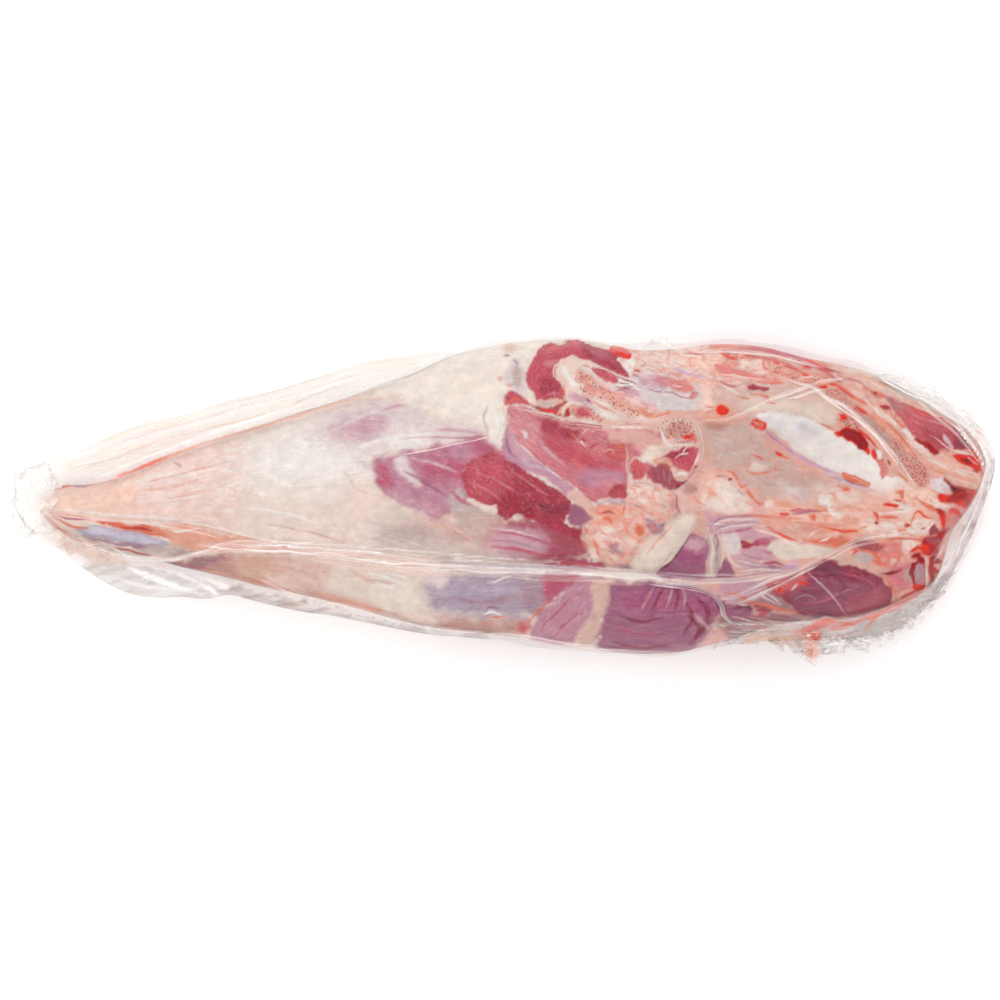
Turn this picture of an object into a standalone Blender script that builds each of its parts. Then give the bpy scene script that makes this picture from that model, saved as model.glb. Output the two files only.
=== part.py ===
"""Raw goat hind leg in a clear shrink bag.

The leg lies on its outer side with the sawn inner face up: hock to the left (-X), rump to the
right (+X). The bag is sealed and clings to the meat, so bag and leg are one closed solid out to
the film. Sizes are millimetres and become metres when the mesh is made.
"""

import bpy
import numpy as np

MM = 0.001

# Driving dimensions.
RINGS = 74  # cross-sections along the bag
SPAN_POINTS = 30  # points across each face of a cross-section
FILM_GAP = 0.4  # the film lies this far off the meat
RIM_SHARE = 0.44  # the widest line of the leg lies at this share of its crown height
FLAT_SHARE = 0.55  # this share of the underside is pressed flat by the leg's own weight
TOP_ROUNDNESS = 2.3
SIDE_ROUNDNESS = 3.0
BRIDGE = 0.45  # how far the tight film spans a hollow: 0 clings to it, 1 is pulled straight
HEM_THICKNESS = 2.6  # two layers of film at the bag's rim, with the air between them

# The leg's cross-sections, from the hock to the sawn end of the rump:
# x, edge towards -Y, edge towards +Y, crown height.
LEG = {
    "hock_tip": (-231, -6, -1, 13),
    "hock": (-222, -14, 6, 21),
    "shank_end": (-205, -23, 9, 28),
    "shank": (-180, -30, 17, 35),
    "calf": (-150, -35, 28, 42),
    "calf_top": (-110, -45, 42, 52),
    "stifle": (-70, -55, 51, 61),
    "stifle_top": (-35, -62, 67, 68),
    "thigh": (5, -66, 79, 73),
    "thigh_top": (45, -73, 78, 76),
    "hip": (85, -76, 74, 77),
    "pelvis": (120, -70, 77, 75),
    "rump": (155, -60, 73, 69),
    "rump_back": (190, -55, 61, 58),
    "loin": (215, -43, 50, 47),
    "loin_end": (237, -8, 37, 34),
    "sawn_end": (246, 8, 25, 26),
}

# The bag's outline seen from above, from the gathered tail to the welded end:
# x, edge towards -Y, edge towards +Y, height of the rim, half thickness of the film gathered there.
BAG = {
    "tail_end": (-247, -7, 11, 15, 4),
    "tail": (-241, -17, 20, 15, 11),
    "tail_neck": (-231, -21, 21, 15, 10),
    "web_start": (-221, -25, 22, 15, 5),
    "web_shank": (-205, -37, 27, 15, 2),
    "web_wide": (-180, -48, 37, 17, 1.3),
    "web_calf": (-150, -49, 45, 20, 1.3),
    "web_calf_top": (-110, -53, 56, 25, 1.3),
    "web_stifle": (-70, -60, 67, 29, 1.3),
    "web_stifle_top": (-35, -67, 72, 32, 1.3),
    "tight_thigh": (5, -70, 80, 35, 1.3),
    "tight_thigh_top": (45, -75, 80, 36, 1.3),
    "tight_hip": (85, -77, 77, 36, 1.3),
    "slack_pelvis": (120, -74, 79, 35, 1.3),
    "slack_rump": (155, -79, 74, 33, 2),
    "slack_rump_back": (190, -73, 63, 28, 3),
    "weld": (215, -54, 56, 23, 3),
    "weld_end": (237, -14, 41, 17, 4),
    "bag_end": (249, 4, 28, 14, 4),
}

# What stands out of the upper face, or sinks into it:
# x, y, half length, half width, rise, turn in degrees.
LANDFORMS = {
    "thigh_muscle": (0, 12, 62, 34, 5, -14),
    "sawn_aitch_bone": (72, 48, 44, 11, 5, -28),
    "pelvic_hollow": (140, 22, 52, 24, -15, -20),
    "sawn_backbone": (185, 40, 66, 9, 6, -27),
    "fat_knot": (78, -18, 26, 18, 7, 0),
    "flank_muscle": (80, -56, 44, 13, 6, 0),
    "loin_muscle": (170, -42, 32, 14, 6, 6),
    "shank_hollow": (-178, -16, 30, 7, -4, -12),
}


def along(table, x):
    """The table's columns at x, each on one smooth curve through the named sections."""
    rows = np.array(list(table.values()), float)
    at, values = rows[:, 0], rows[:, 1:]
    slopes = np.gradient(values, at, axis=0)
    i = int(np.clip(np.searchsorted(at, x) - 1, 0, len(at) - 2))
    step = at[i + 1] - at[i]
    t = np.clip((x - at[i]) / step, 0, 1)
    return (
        (1 + 2 * t) * (1 - t) ** 2 * values[i]
        + t * (1 - t) ** 2 * step * slopes[i]
        + t**2 * (3 - 2 * t) * values[i + 1]
        + t**2 * (t - 1) * step * slopes[i + 1]
    )


def landform(x, y):
    """How far the upper face stands above the plain rounded form."""
    total = np.zeros_like(y)
    for cx, cy, length, width, rise, turn in LANDFORMS.values():
        c, s = np.cos(np.radians(turn)), np.sin(np.radians(turn))
        u = ((x - cx) * c + (y - cy) * s) / length
        v = ((y - cy) * c - (x - cx) * s) / width
        total += rise * np.exp(-(u**2 + v**2))
    return total


def leg_faces(x, y):
    """Upper and lower height of the meat at x, for an array of y. Outside the meat both are its rim."""
    low, high, crown = along(LEG, x)
    rim = RIM_SHARE * crown
    v = np.clip((y - (low + high) / 2) / ((high - low) / 2), -1, 1)
    dome = np.sqrt(np.maximum(1 - np.abs(v) ** TOP_ROUNDNESS, 0))
    belly = np.sqrt(np.maximum(1 - np.abs(v) ** SIDE_ROUNDNESS, 0))
    top = rim + (crown - rim) * dome + landform(x, y) * dome
    flat = np.sqrt(1 - FLAT_SHARE**SIDE_ROUNDNESS)
    bottom = rim * np.maximum(1 - belly / flat, 0)
    inside = (y > low) & (y < high)
    return np.where(inside, top, rim), np.where(inside, bottom, rim), inside


def hull(y, z):
    """The tight line over the points (y, z), as a stretched film would take it."""
    kept = []
    for p in zip(y, z):
        while len(kept) > 1 and (
            (kept[-1][0] - kept[-2][0]) * (p[1] - kept[-2][1])
            >= (kept[-1][1] - kept[-2][1]) * (p[0] - kept[-2][0])
        ):
            kept.pop()
        kept.append(p)
    kept = np.array(kept)
    return np.interp(y, kept[:, 0], kept[:, 1])


def bag_section(x):
    """The closed outline of the filled bag at x: points from the -Y rim over the top and back below."""
    low, high, rim, half = along(BAG, x)
    share = (1 - np.cos(np.linspace(0, np.pi, SPAN_POINTS))) / 2
    y = low + (high - low) * share
    edge = HEM_THICKNESS / 2
    hem = edge + max(half - edge, 0) * np.sqrt(np.maximum(1 - (2 * share - 1) ** 2, 0))
    top, bottom = rim + hem, rim - hem
    if LEG["hock_tip"][0] < x < LEG["sawn_end"][0]:
        leg_top, leg_bottom, inside = leg_faces(x, y)
        top = np.where(inside, np.maximum(top, leg_top + FILM_GAP), top)
        bottom = np.where(inside, np.minimum(bottom, leg_bottom - FILM_GAP), bottom)
    top = (1 - BRIDGE) * top + BRIDGE * hull(y, top)
    bottom = (1 - BRIDGE) * bottom - BRIDGE * hull(y, -bottom)
    bottom = np.maximum(bottom, 0)
    over = [(x, a, b) for a, b in zip(y, top)]
    under = [(x, a, b) for a, b in zip(y[::-1], bottom[::-1])]
    return over + under


def make_bagged_leg():
    """Lofts the sections into one closed mesh, with its origin under the middle of its box."""
    first, last = BAG["tail_end"][0], BAG["bag_end"][0]
    stations = np.linspace(first, last, RINGS)
    points = np.array([bag_section(x) for x in stations])
    low, high = points.min(axis=(0, 1)), points.max(axis=(0, 1))
    points -= [(low[0] + high[0]) / 2, (low[1] + high[1]) / 2, low[2]]
    around = 2 * SPAN_POINTS
    faces = [
        (
            i * around + j,
            (i + 1) * around + j,
            (i + 1) * around + (j + 1) % around,
            i * around + (j + 1) % around,
        )
        for i in range(RINGS - 1)
        for j in range(around)
    ]
    faces.append(tuple(range(around)))
    faces.append(tuple(reversed(range((RINGS - 1) * around, RINGS * around))))
    mesh = bpy.data.meshes.new("bagged_leg")
    mesh.from_pydata((points.reshape(-1, 3) * MM).tolist(), [], faces)
    mesh.validate()
    mesh.shade_smooth()
    return mesh


def film_over_meat():
    """Meat seen through clear film: pinkish cream, wet and glossy."""
    material = bpy.data.materials.new("meat_in_film")
    material.use_nodes = True
    shader = material.node_tree.nodes["Principled BSDF"]
    shader.inputs["Base Color"].default_value = (0.62, 0.32, 0.29, 1)
    shader.inputs["Roughness"].default_value = 0.3
    shader.inputs["Metallic"].default_value = 0
    return material


def main():
    for old in list(bpy.data.objects):
        bpy.data.objects.remove(old)
    collection = bpy.data.collections.new("goat_leg")
    bpy.context.scene.collection.children.link(collection)
    leg = bpy.data.objects.new("bagged_leg", make_bagged_leg())
    leg.data.materials.append(film_over_meat())
    collection.objects.link(leg)


main()
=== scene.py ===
import functools
import math
import re

import bpy
import numpy as np
from bpy.props import FloatProperty, FloatVectorProperty, PointerProperty
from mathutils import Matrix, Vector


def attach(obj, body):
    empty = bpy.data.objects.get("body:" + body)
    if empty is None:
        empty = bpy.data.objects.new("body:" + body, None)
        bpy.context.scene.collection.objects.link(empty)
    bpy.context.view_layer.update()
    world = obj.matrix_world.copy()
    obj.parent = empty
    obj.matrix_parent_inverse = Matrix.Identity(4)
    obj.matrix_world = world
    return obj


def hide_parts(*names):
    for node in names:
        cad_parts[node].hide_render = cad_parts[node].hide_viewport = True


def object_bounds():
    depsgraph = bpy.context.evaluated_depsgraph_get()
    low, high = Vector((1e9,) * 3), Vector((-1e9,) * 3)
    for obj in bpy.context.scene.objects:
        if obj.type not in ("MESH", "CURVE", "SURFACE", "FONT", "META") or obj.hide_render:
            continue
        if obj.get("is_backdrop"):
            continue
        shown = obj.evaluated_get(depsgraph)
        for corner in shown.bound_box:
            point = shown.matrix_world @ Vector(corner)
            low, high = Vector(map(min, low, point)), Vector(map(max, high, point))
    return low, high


bl_info = {
    "name": "Raw goat leg in a clear bag",
    "version": (1, 0, 0),
    "blender": (4, 5, 0),
    "location": "3D View > Sidebar > Goat leg",
    "description": "Builds a raw bone-in goat leg sealed in creased clear film, and its stage",
    "category": "Add Mesh",
}

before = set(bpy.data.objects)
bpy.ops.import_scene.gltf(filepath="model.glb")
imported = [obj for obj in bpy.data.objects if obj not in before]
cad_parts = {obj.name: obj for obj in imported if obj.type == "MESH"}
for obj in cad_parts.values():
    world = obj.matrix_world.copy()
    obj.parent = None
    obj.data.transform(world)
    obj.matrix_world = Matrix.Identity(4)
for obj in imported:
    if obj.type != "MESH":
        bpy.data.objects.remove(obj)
CAD_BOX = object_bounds()

MM = 0.001
NODE = "bagged_leg"
# Plan positions below are millimetres in the butcher's plan: x from the hock to the rump, y across.
# This point of the plan stands over the middle of the solid's box.
PLAN_MIDDLE = (1.0, 0.45)
# Outlines are drawn as the eye sees them from this height straight above the rim of the bag.
EYE_HEIGHT = 2500.0
RIM_LEVEL = 25.0


def linear(hex_code):
    """The linear colour of an sRGB hex code."""
    srgb = np.array([int(hex_code[i : i + 2], 16) for i in (0, 2, 4)]) / 255
    return np.where(srgb <= 0.04045, srgb / 12.92, ((srgb + 0.055) / 1.055) ** 2.4)


# ---------------------------------------------------------------- colours

# Each tissue: its colour, then how far it shows muscle fibre, bone pores, fat lobules and wetness.
TISSUES = {
    "cream_fascia": ("E8D2C7", 0, 0, 0.2, 0),
    "white_fascia": ("EEE7E1", 0, 0, 0.1, 0),
    "salmon_fascia": ("F4CFBD", 0, 0, 0.2, 0.2),
    "pink_fascia": ("EFD5CD", 0.1, 0, 0.2, 0.2),
    "rosy_fascia": ("E3B5A7", 0.2, 0, 0.2, 0.2),
    "blush_fascia": ("E7D2C7", 0, 0, 0.2, 0),
    "peach_fascia": ("D6AD9F", 0, 0, 0.3, 0.1),
    "tan_fascia": ("D4AE99", 0.2, 0, 0.2, 0.2),
    "orange_fascia": ("E4A48C", 0.1, 0, 0.2, 0.3),
    "dusk_fascia": ("A27477", 0.4, 0, 0.1, 0.2),
    "mauve_fascia": ("CA9AA6", 0.3, 0, 0.1, 0.1),
    "lilac_fascia": ("DFCCCC", 0.3, 0, 0.2, 0.1),
    "grey_fascia": ("C2ACA7", 0.2, 0, 0.2, 0.1),
    "fat": ("EBDBCF", 0, 0, 0.5, 0),
    "warm_fat": ("F1E4D9", 0, 0, 0.5, 0),
    "pink_fat": ("DEB9AC", 0, 0, 1, 0.1),
    "dull_fat": ("E3CFC1", 0, 0, 0.4, 0),
    "orange_fat": ("E39F87", 0, 0, 1, 0.3),
    "purple_muscle": ("BD8195", 0.5, 0, 0, 0.2),
    "crimson_muscle": ("B8546E", 0.7, 0, 0, 0.3),
    "violet_muscle": ("9D5A77", 0.4, 0, 0, 0.3),
    "blue_muscle": ("AD9AAB", 0.4, 0, 0, 0.2),
    "low_salmon": ("BF8C81", 0.3, 0, 0.2, 0.2),
    "plum_muscle": ("A24E76", 0.5, 0, 0, 0.4),
    "maroon_muscle": ("902942", 0.8, 0, 0, 0.4),
    "wine_muscle": ("8C3E59", 0.5, 0, 0, 0.3),
    "dark_plum": ("742A46", 0.5, 0, 0, 0.3),
    "brick_lean": ("A54556", 0.7, 0, 0, 0.3),
    "dun_fascia": ("B0938C", 0.2, 0, 0.1, 0.1),
    "mist_fascia": ("D6CAC8", 0.1, 0, 0.1, 0),
    "blue_vein": ("C4BDCE", 0, 0, 0, 0),
    "lean": ("C44F5F", 1, 0, 0, 0.3),
    "deep_lean": ("A93448", 1, 0, 0, 0.4),
    "dark_lean": ("9D273A", 1, 0, 0, 0.5),
    "bright_lean": ("CC5B60", 1, 0, 0, 0.4),
    "pink_lean": ("D5888F", 1, 0, 0, 0.2),
    "rose_lean": ("CE7680", 1, 0, 0, 0.2),
    "salmon_lean": ("DD867F", 0.8, 0, 0, 0.3),
    "silverskin": ("C58FA4", 0.3, 0, 0, 0.2),
    "pale_silverskin": ("D6B9C4", 0.2, 0, 0, 0.1),
    "blue_tendon": ("B4A9B7", 0.1, 0, 0, 0.1),
    "mauve_tendon": ("A68290", 0.2, 0, 0, 0.2),
    "cartilage": ("EECCBE", 0, 0, 0.1, 0.1),
    "white_bone": ("EDE5DF", 0, 0.05, 0, 0),
    # Bone in painted shadow: the bluish grey where white bone lies in shade.
    "blue_bone": ("E0DAE0", 0, 0, 0, 0),
    "spongy_bone": ("D59F93", 0, 1, 0, 0.2),
    "pale_spongy_bone": ("E2BBAE", 0, 1, 0, 0.2),
    "red_spongy_bone": ("E3A292", 0, 1, 0, 0.4),
    "grey_spongy_bone": ("D0968A", 0, 1, 0, 0.2),
    "membrane": ("CCB2A8", 0.2, 0, 0.1, 0.2),
    "grey_membrane": ("CDAFA4", 0.2, 0, 0.1, 0.2),
    "beige_membrane": ("DEA99D", 0.1, 0, 0.2, 0.2),
    "pink_membrane": ("EAB7A6", 0.1, 0, 0.3, 0.3),
    "brown_muscle": ("A4474F", 1, 0, 0, 0.4),
    "blood": ("E43020", 0, 0, 0, 1),
    "thin_blood": ("DF6E50", 0, 0, 0, 0.7),
    "deep_blood": ("B11F24", 0, 0, 0, 1),
    "clot": ("A00D18", 0, 0, 0, 1),
    "vessel": ("C2A0CC", 0, 0, 0, 0.2),
    # Painted shade: a near-black red laid along creases and seams where shade falls.
    "crevice": ("4F0F1C", 0, 0, 0, 0.6),
}
STREAK_KINDS = ("red", "pale", "speckle")
EDGING = 0.8  # half width of the tissue that edges another

# Each look of the film: its colour, and how much of what lies behind it hides.
FILMS = {
    "clear_film": ("E8E4E2", 0.004),
    "milky_film": ("F1EBE4", 0.3),
    "web_film": ("D9CFC4", 0.84),
    "flap_film": ("AA9F99", 0.66),
    "tan_film": ("C9A692", 0.62),
    "stained_film": ("CF5236", 0.75),
    "grey_film": ("DAD3CF", 0.5),
    "mauve_film": ("95827F", 0.8),
    "lavender_film": ("9D8A91", 0.84),
    # The white look is the creased film's own white with the light its folds catch painted in; the glint
    # look is a painted glint.
    "white_film": ("FFFCF8", 0.5),
    "glint_film": ("FFFFFF", 0.85),
    "salmon_film": ("E8A68C", 0.5),
    "orange_film": ("DB7F5E", 0.5),
    "bloody_film": ("BC3A30", 0.7),
    "brown_film": ("8C544C", 0.55),
}

# ---------------------------------------------------------------- form of the leg

# x, edge towards -Y, edge towards +Y, crown height.
LEG = (
    (-231.5, -6, -1.5, 11),
    (-227, -12, 3, 17),
    (-222, -16.5, 6.5, 21),
    (-213, -20.5, 7.5, 25),
    (-205, -23, 8, 28),
    (-190, -27.5, 12, 32.5),
    (-175, -29.5, 19.5, 36),
    (-160, -33.5, 25, 40),
    (-140, -38, 31.5, 44),
    (-125, -42, 36, 48),
    (-100, -47.5, 44, 54),
    (-80, -52, 50, 59),
    (-60, -57.5, 57, 63),
    (-45, -61.5, 62, 66),
    (-25, -65, 71, 70),
    (-10, -66.5, 75, 71.5),
    (5, -68, 77.5, 73),
    (25, -71.5, 79.5, 75),
    (40, -73.5, 79.5, 76),
    (56, -75, 77, 76.5),
    (70, -76, 74.5, 77),
    (90, -75.5, 75.5, 77),
    (105, -72, 77.5, 76),
    (120, -68, 77.5, 75),
    (135, -63, 75.5, 73),
    (150, -60.5, 71.5, 70),
    (170, -60, 67.5, 65),
    (190, -56, 61.5, 58),
    (205, -50, 54, 51),
    (215, -44, 47.5, 46.5),
    (220, -37, 44, 44),
    (225, -19, 41, 41),
    (232, -8, 37, 37),
    (237, -1, 33.5, 33),
    (241, 7, 28, 28),
    (243, 14, 22, 23),
)
RIM_SHARE = 0.44  # height of the widest line, as a share of the crown's
FLAT_SHARE = 0.55  # share of the width that rests on the floor
TOP_ROUNDNESS = 2.3
SIDE_ROUNDNESS = 3.0
TOP_POINTS = 282
BELLY_POINTS = 60
WALL_SHARE = 1.3  # the larger, the closer together the points lie on the leg's side walls
DOME_SHARE = 0.6  # height of the top's dome, as a share of half its width
LEG_RINGS = 820
MEATY_FROM = -20  # from this x on, the rings lie closer together
MEATY_PULL = 0.35
MIRRORED = 8  # mm of the belly, from the rim on, that mirror the top's drawing
MIRROR_RAGGED = 6  # mm by which that stretch varies
MIRROR_BLEND = 7  # mm over which the belly's own drawing takes over
BELLY_RELIEF = 0.4  # the belly is pressed smoother than the top
LENGTHS = ("leg_shank", "leg_thigh", "leg_rump")  # the leg is meshed in three lengths that meet
LIFT = 0.5  # the meat lies this far inside the film

# What stands out of the upper face, or sinks into it: x, y, half length, half width, rise, turn.
LANDFORMS = {
    "thigh_muscle": (0, 12, 62, 34, 5, -14),
    "sawn_aitch_bone": (72, 48, 44, 11, 5, -28),
    "pelvic_hollow": (145, 22, 48, 20, -17, -20),
    "sawn_backbone": (185, 40, 66, 9, 6, -27),
    "fat_knot": (78, -18, 26, 18, 7, 0),
    "flank_muscle": (80, -56, 44, 13, 6, 0),
    "loin_muscle": (170, -42, 32, 14, 6, 6),
    "shank_hollow": (-178, -16, 30, 7, -4, -12),
    "groin_groove": (10, -33, 75, 7, -5, -3),
    "rump_groove": (128, -52, 14, 12, -9, 20),
}


LATTICE = 64  # the noise repeats after this many swings


def along(table, x):
    """The table's columns at x, each on one smooth curve through its rows."""
    rows = np.array(table, float)
    at, values = rows[:, 0], rows[:, 1:]
    slopes = np.gradient(values, at, axis=0)
    i = np.clip(np.searchsorted(at, x) - 1, 0, len(at) - 2)
    step = (at[i + 1] - at[i])[:, None]
    t = np.clip((x - at[i]) / step[:, 0], 0, 1)[:, None]
    return (
        (1 + 2 * t) * (1 - t) ** 2 * values[i]
        + t * (1 - t) ** 2 * step * slopes[i]
        + t**2 * (3 - 2 * t) * values[i + 1]
        + t**2 * (t - 1) * step * slopes[i + 1]
    ).T


def ease(t):
    """0 to 1, level at both ends."""
    t = np.clip(t, 0, 1)
    return t * t * (3 - 2 * t)


def mix(a, b, t):
    """a at 0, b at 1, and straight between them."""
    return a + (b - a) * t


@functools.lru_cache(maxsize=None)
def lattice(seed):
    """The seeded values that the noise runs between."""
    return np.random.default_rng(seed).uniform(-1, 1, (LATTICE, LATTICE))


def wander(x, y, seed):
    """Smooth seeded noise between -1 and 1, about one swing for each unit of x and y."""
    grid = lattice(seed)
    i, j = np.floor(x).astype(int), np.floor(y).astype(int)
    s, t = ease(x - i), ease(y - j)
    i, j, right, up = (k % LATTICE for k in (i, j, i + 1, j + 1))
    return mix(mix(grid[i, j], grid[right, j], s), mix(grid[i, up], grid[right, up], s), t)


def crinkle(x, y, seed):
    """Sharp-ridged seeded noise between 0 and 1, as crumpled film creases."""
    folds = 1 - np.abs(wander(x, y, seed))
    fine = 1 - np.abs(wander(2.3 * x, 2.3 * y, seed + 1))
    return folds**3 * 0.7 + fine**4 * 0.3


def landform(x, y):
    """How far the upper face stands above the plain rounded form."""
    total = np.zeros_like(y)
    for cx, cy, length, width, rise, turn in LANDFORMS.values():
        c, s = math.cos(math.radians(turn)), math.sin(math.radians(turn))
        u = ((x - cx) * c + (y - cy) * s) / length
        v = ((y - cy) * c - (x - cx) * s) / width
        total += rise * np.exp(-(u**2 + v**2))
    return total


def nearer(z):
    """How much larger the eye sees what lies at height z than what lies at rim level."""
    return EYE_HEIGHT / (EYE_HEIGHT - (z - RIM_LEVEL))


def seen_from_above(x, y, z):
    """Where the eye, straight above the middle, sees a point on the plan at rim level."""
    mx, my = PLAN_MIDDLE
    return mx + (x - mx) * nearer(z), my + (y - my) * nearer(z)


def even_shares(points, height_share, roundness):
    """Positions across a dome, from -1 to 1, the same length of its surface apart."""
    v = -np.cos(np.linspace(0, np.pi, 4001))
    z = height_share * np.sqrt(np.maximum(1 - np.abs(v) ** roundness, 0))
    run = np.concatenate([[0], np.cumsum(np.hypot(np.diff(v), np.diff(z)))])
    return np.interp(np.linspace(0, run[-1], points), run, v)


def stations(first, last, count, meaty_pull):
    """Positions along the leg, closer together at both ends and, by meaty_pull, where it is meaty."""
    x = np.linspace(first, last, 6001)
    pull = 1 + meaty_pull * ease((x - MEATY_FROM) / 50)
    pull += 4 * np.exp(-((x - first) / 2.5) ** 2) + 3 * np.exp(-((x - last) / 2.5) ** 2)
    run = np.concatenate([[0], np.cumsum((pull[1:] + pull[:-1]) / 2)])
    return np.interp(np.linspace(0, run[-1], count), run, x)


# ---------------------------------------------------------------- drawing on the plan

CURVE_STEPS = 6  # between two points of a curve
RISE_REACH = 4.0  # this far inside its outline, an area has reached its full height

def table_rows(table):
    """The words, the numbers and the paths of each row of a table. A row's later lines are
    indented, and a | starts a second path."""
    for row in re.split(r"\n+(?! )", table.strip()):
        row, *others = row.split("|")
        items = row.split()
        words = [item for item in items if item[0].isalpha()]
        numbers = [float(item) for item in items if "," not in item and not item[0].isalpha()]
        path = " ".join(item for item in items if "," in item)
        yield words, numbers, [path, *(" ".join(other.split()) for other in others)]


def plan_points(path):
    """The points of a string such as "0,0 4,2 8,0"."""
    return np.array([[float(n) for n in pair.split(",")] for pair in path.split()])


def smooth(p, closed=False):
    """A smooth curve through points."""
    ends = (p[-1:], p, p[:2]) if closed else (2 * p[:1] - p[1:2], p, 2 * p[-1:] - p[-2:-1])
    q = np.vstack(ends)
    t = np.linspace(0, 1, CURVE_STEPS, endpoint=False)[:, None]
    spans = [
        0.5 * (2 * b + (c - a) * t + (2 * a - 5 * b + 4 * c - d) * t**2
               + (3 * b - a - 3 * c + d) * t**3)
        for a, b, c, d in zip(q, q[1:], q[2:], q[3:])
    ]
    return np.vstack(spans if closed else [*spans, p[-1:]])


def curve_through(path, closed=False):
    """A smooth curve through the points of a string."""
    return smooth(plan_points(path), closed)


def near(curve, x, y, margin):
    """The indices of the points within the curve's box and a margin."""
    (x0, y0), (x1, y1) = curve.min(axis=0) - margin, curve.max(axis=0) + margin
    return np.nonzero((x > x0) & (x < x1) & (y > y0) & (y < y1))[0]


def to_segments(curve, x, y):
    """The distance from each point to the curve, and where along it, from 0 to 1."""
    a, d = curve[:-1], np.diff(curve, axis=0)
    best, where = np.full(len(x), 1e9), np.zeros(len(x))
    for k in range(len(d)):
        length2 = max(d[k] @ d[k], 1e-9)
        px, py = x - a[k, 0], y - a[k, 1]
        t = np.clip((px * d[k, 0] + py * d[k, 1]) / length2, 0, 1)
        gap = np.hypot(px - t * d[k, 0], py - t * d[k, 1])
        closer = gap < best
        best = np.where(closer, gap, best)
        where = np.where(closer, (k + t) / len(d), where)
    return best, where


def inside_by(curve, x, y):
    """How far inside a closed curve each point lies; negative outside."""
    loop = np.vstack([curve, curve[:1]])
    gap, _ = to_segments(loop, x, y)
    crossings = np.zeros(len(x), int)
    for (ax, ay), (bx, by) in zip(loop[:-1], loop[1:]):
        if ay != by:
            spans = (ay > y) != (by > y)
            crossings += spans & (x < (bx - ax) * (y - ay) / (by - ay) + ax)
    return np.where(crossings % 2 == 1, gap, -gap)


class Canvas:
    """Colours and reliefs laid over the points of a surface, in order, as on a plan."""

    def __init__(self, x, y, base, looks):
        self.looks = looks
        self.x, self.y = x, y
        # Hand-cut edges are never smooth: outlines waver by about a millimetre.
        self.px = x + 0.7 * wander(x / 6, y / 6, 11) + 0.35 * wander(x / 2.2, y / 2.2, 12)
        self.py = y + 0.7 * wander(x / 6, y / 6, 13) + 0.35 * wander(x / 2.2, y / 2.2, 14)
        self.px += 0.25 * wander(x / 0.9, y / 0.9, 17)
        self.py += 0.25 * wander(x / 0.9, y / 0.9, 18)
        self.blotch = 0.45 * wander(x / 6.5, y / 4, 19) + 0.4 * wander(x / 2.8, y / 2, 15)
        self.blotch += 0.3 * wander(x / 1.2, y / 1, 16)
        colour, *traits = looks[base]
        self.tone = np.tile(np.array(colour), (len(x), 1))
        self.traits = np.tile(np.array(traits, float), (len(x), 1))
        self.streak = np.zeros((len(x), len(STREAK_KINDS)))
        self.rise = np.zeros(len(x))
        self.grain = np.stack([x, y], axis=1)

    def lay(self, look, at, share):
        colour, *traits = self.looks[look]
        share = share[:, None]
        self.tone[at] = mix(self.tone[at], np.array(colour), share)
        self.traits[at] = mix(self.traits[at], np.array(traits, float), share)

    def turn_grain(self, at, turn):
        c, s = math.cos(math.radians(turn)), math.sin(math.radians(turn))
        x, y = self.x[at], self.y[at]
        self.grain[at] = np.stack([x * c + y * s, y * c - x * s], axis=1)

    def area(self, look, soft, rise, turn, points):
        """A filled outline. Its edge is soft mm wide; rise mm is its height well inside."""
        look, _, edging = look.partition("/")
        curve = curve_through(points, closed=True)
        wide = soft * np.clip(0.75 + soft / 4, 1, 1.8)  # tissues that blend do so over a wider band
        at = near(curve, self.px, self.py, wide + 1)
        depth = inside_by(curve, self.px[at], self.py[at])
        edge = np.abs(depth)
        depth = depth + min(soft, 4) * 0.7 * self.blotch[at]
        self.lay(look, at, ease(depth / wide + 0.5))
        if edging:
            self.lay(edging, at, ease(1.3 - edge / EDGING) * ease(0.9 + 1.2 * self.blotch[at]))
        self.rise[at] += rise * (1 - (1 - np.clip(depth / RISE_REACH, 0, 1)) ** 2)
        if self.looks[look][1] >= 0.4:  # muscle: its fibre runs the way the outline is turned
            self.turn_grain(at[depth > 0], turn)

    def line(self, look, width, soft, rise, points):
        """A line that tapers to both ends and thins and thickens on its way."""
        curve = curve_through(points)
        at = near(curve, self.px, self.py, width + soft + 1)
        gap, where = to_segments(curve, mix(self.x, self.px, 0.4)[at], mix(self.y, self.py, 0.4)[at])
        half = width / 2 * np.sqrt(np.sin(np.pi * np.clip(where, 0.02, 0.98)))
        half = half * (1 + 0.5 * self.blotch[at])
        self.lay(look, at, 0.9 * ease((half - gap) / soft + 0.5))
        self.rise[at] += rise * ease((half + 0.5 - gap) / (half + 0.5))

    def streaks(self, kind, amount, soft, turn, points):
        """Marks an outline for fine streaks, that the material draws along the grain."""
        curve = curve_through(points, closed=True)
        at = near(curve, self.px, self.py, soft + 1)
        share = ease(inside_by(curve, self.px[at], self.py[at]) / soft + 0.5)
        column = STREAK_KINDS.index(kind)
        self.streak[at, column] = mix(self.streak[at, column], amount, share)
        self.turn_grain(at[(share > 0.5) & (self.traits[at, 0] < 0.4)], turn)

    def draw(self, drawing):
        """Lays the rows of a drawing: what to lay, its look, its numbers and its points."""
        for (kind, look), numbers, (points,) in table_rows(drawing):
            getattr(self, kind)(look, *numbers, points)


# ---------------------------------------------------------------- anatomy
#
# Laid in order, the later over the earlier.
# area: tissue, soft edge, rise, turn of its fibres in degrees, outline. A second tissue edges it.
# line: tissue, width, soft edge, rise, path.
# The darkest crease tissue is painted shade, laid along a crease or seam.

# The large white fascia oval over the calf, at x -136 to -66, is a painted sheen: a soft pool of light laid
# as colour.
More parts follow.
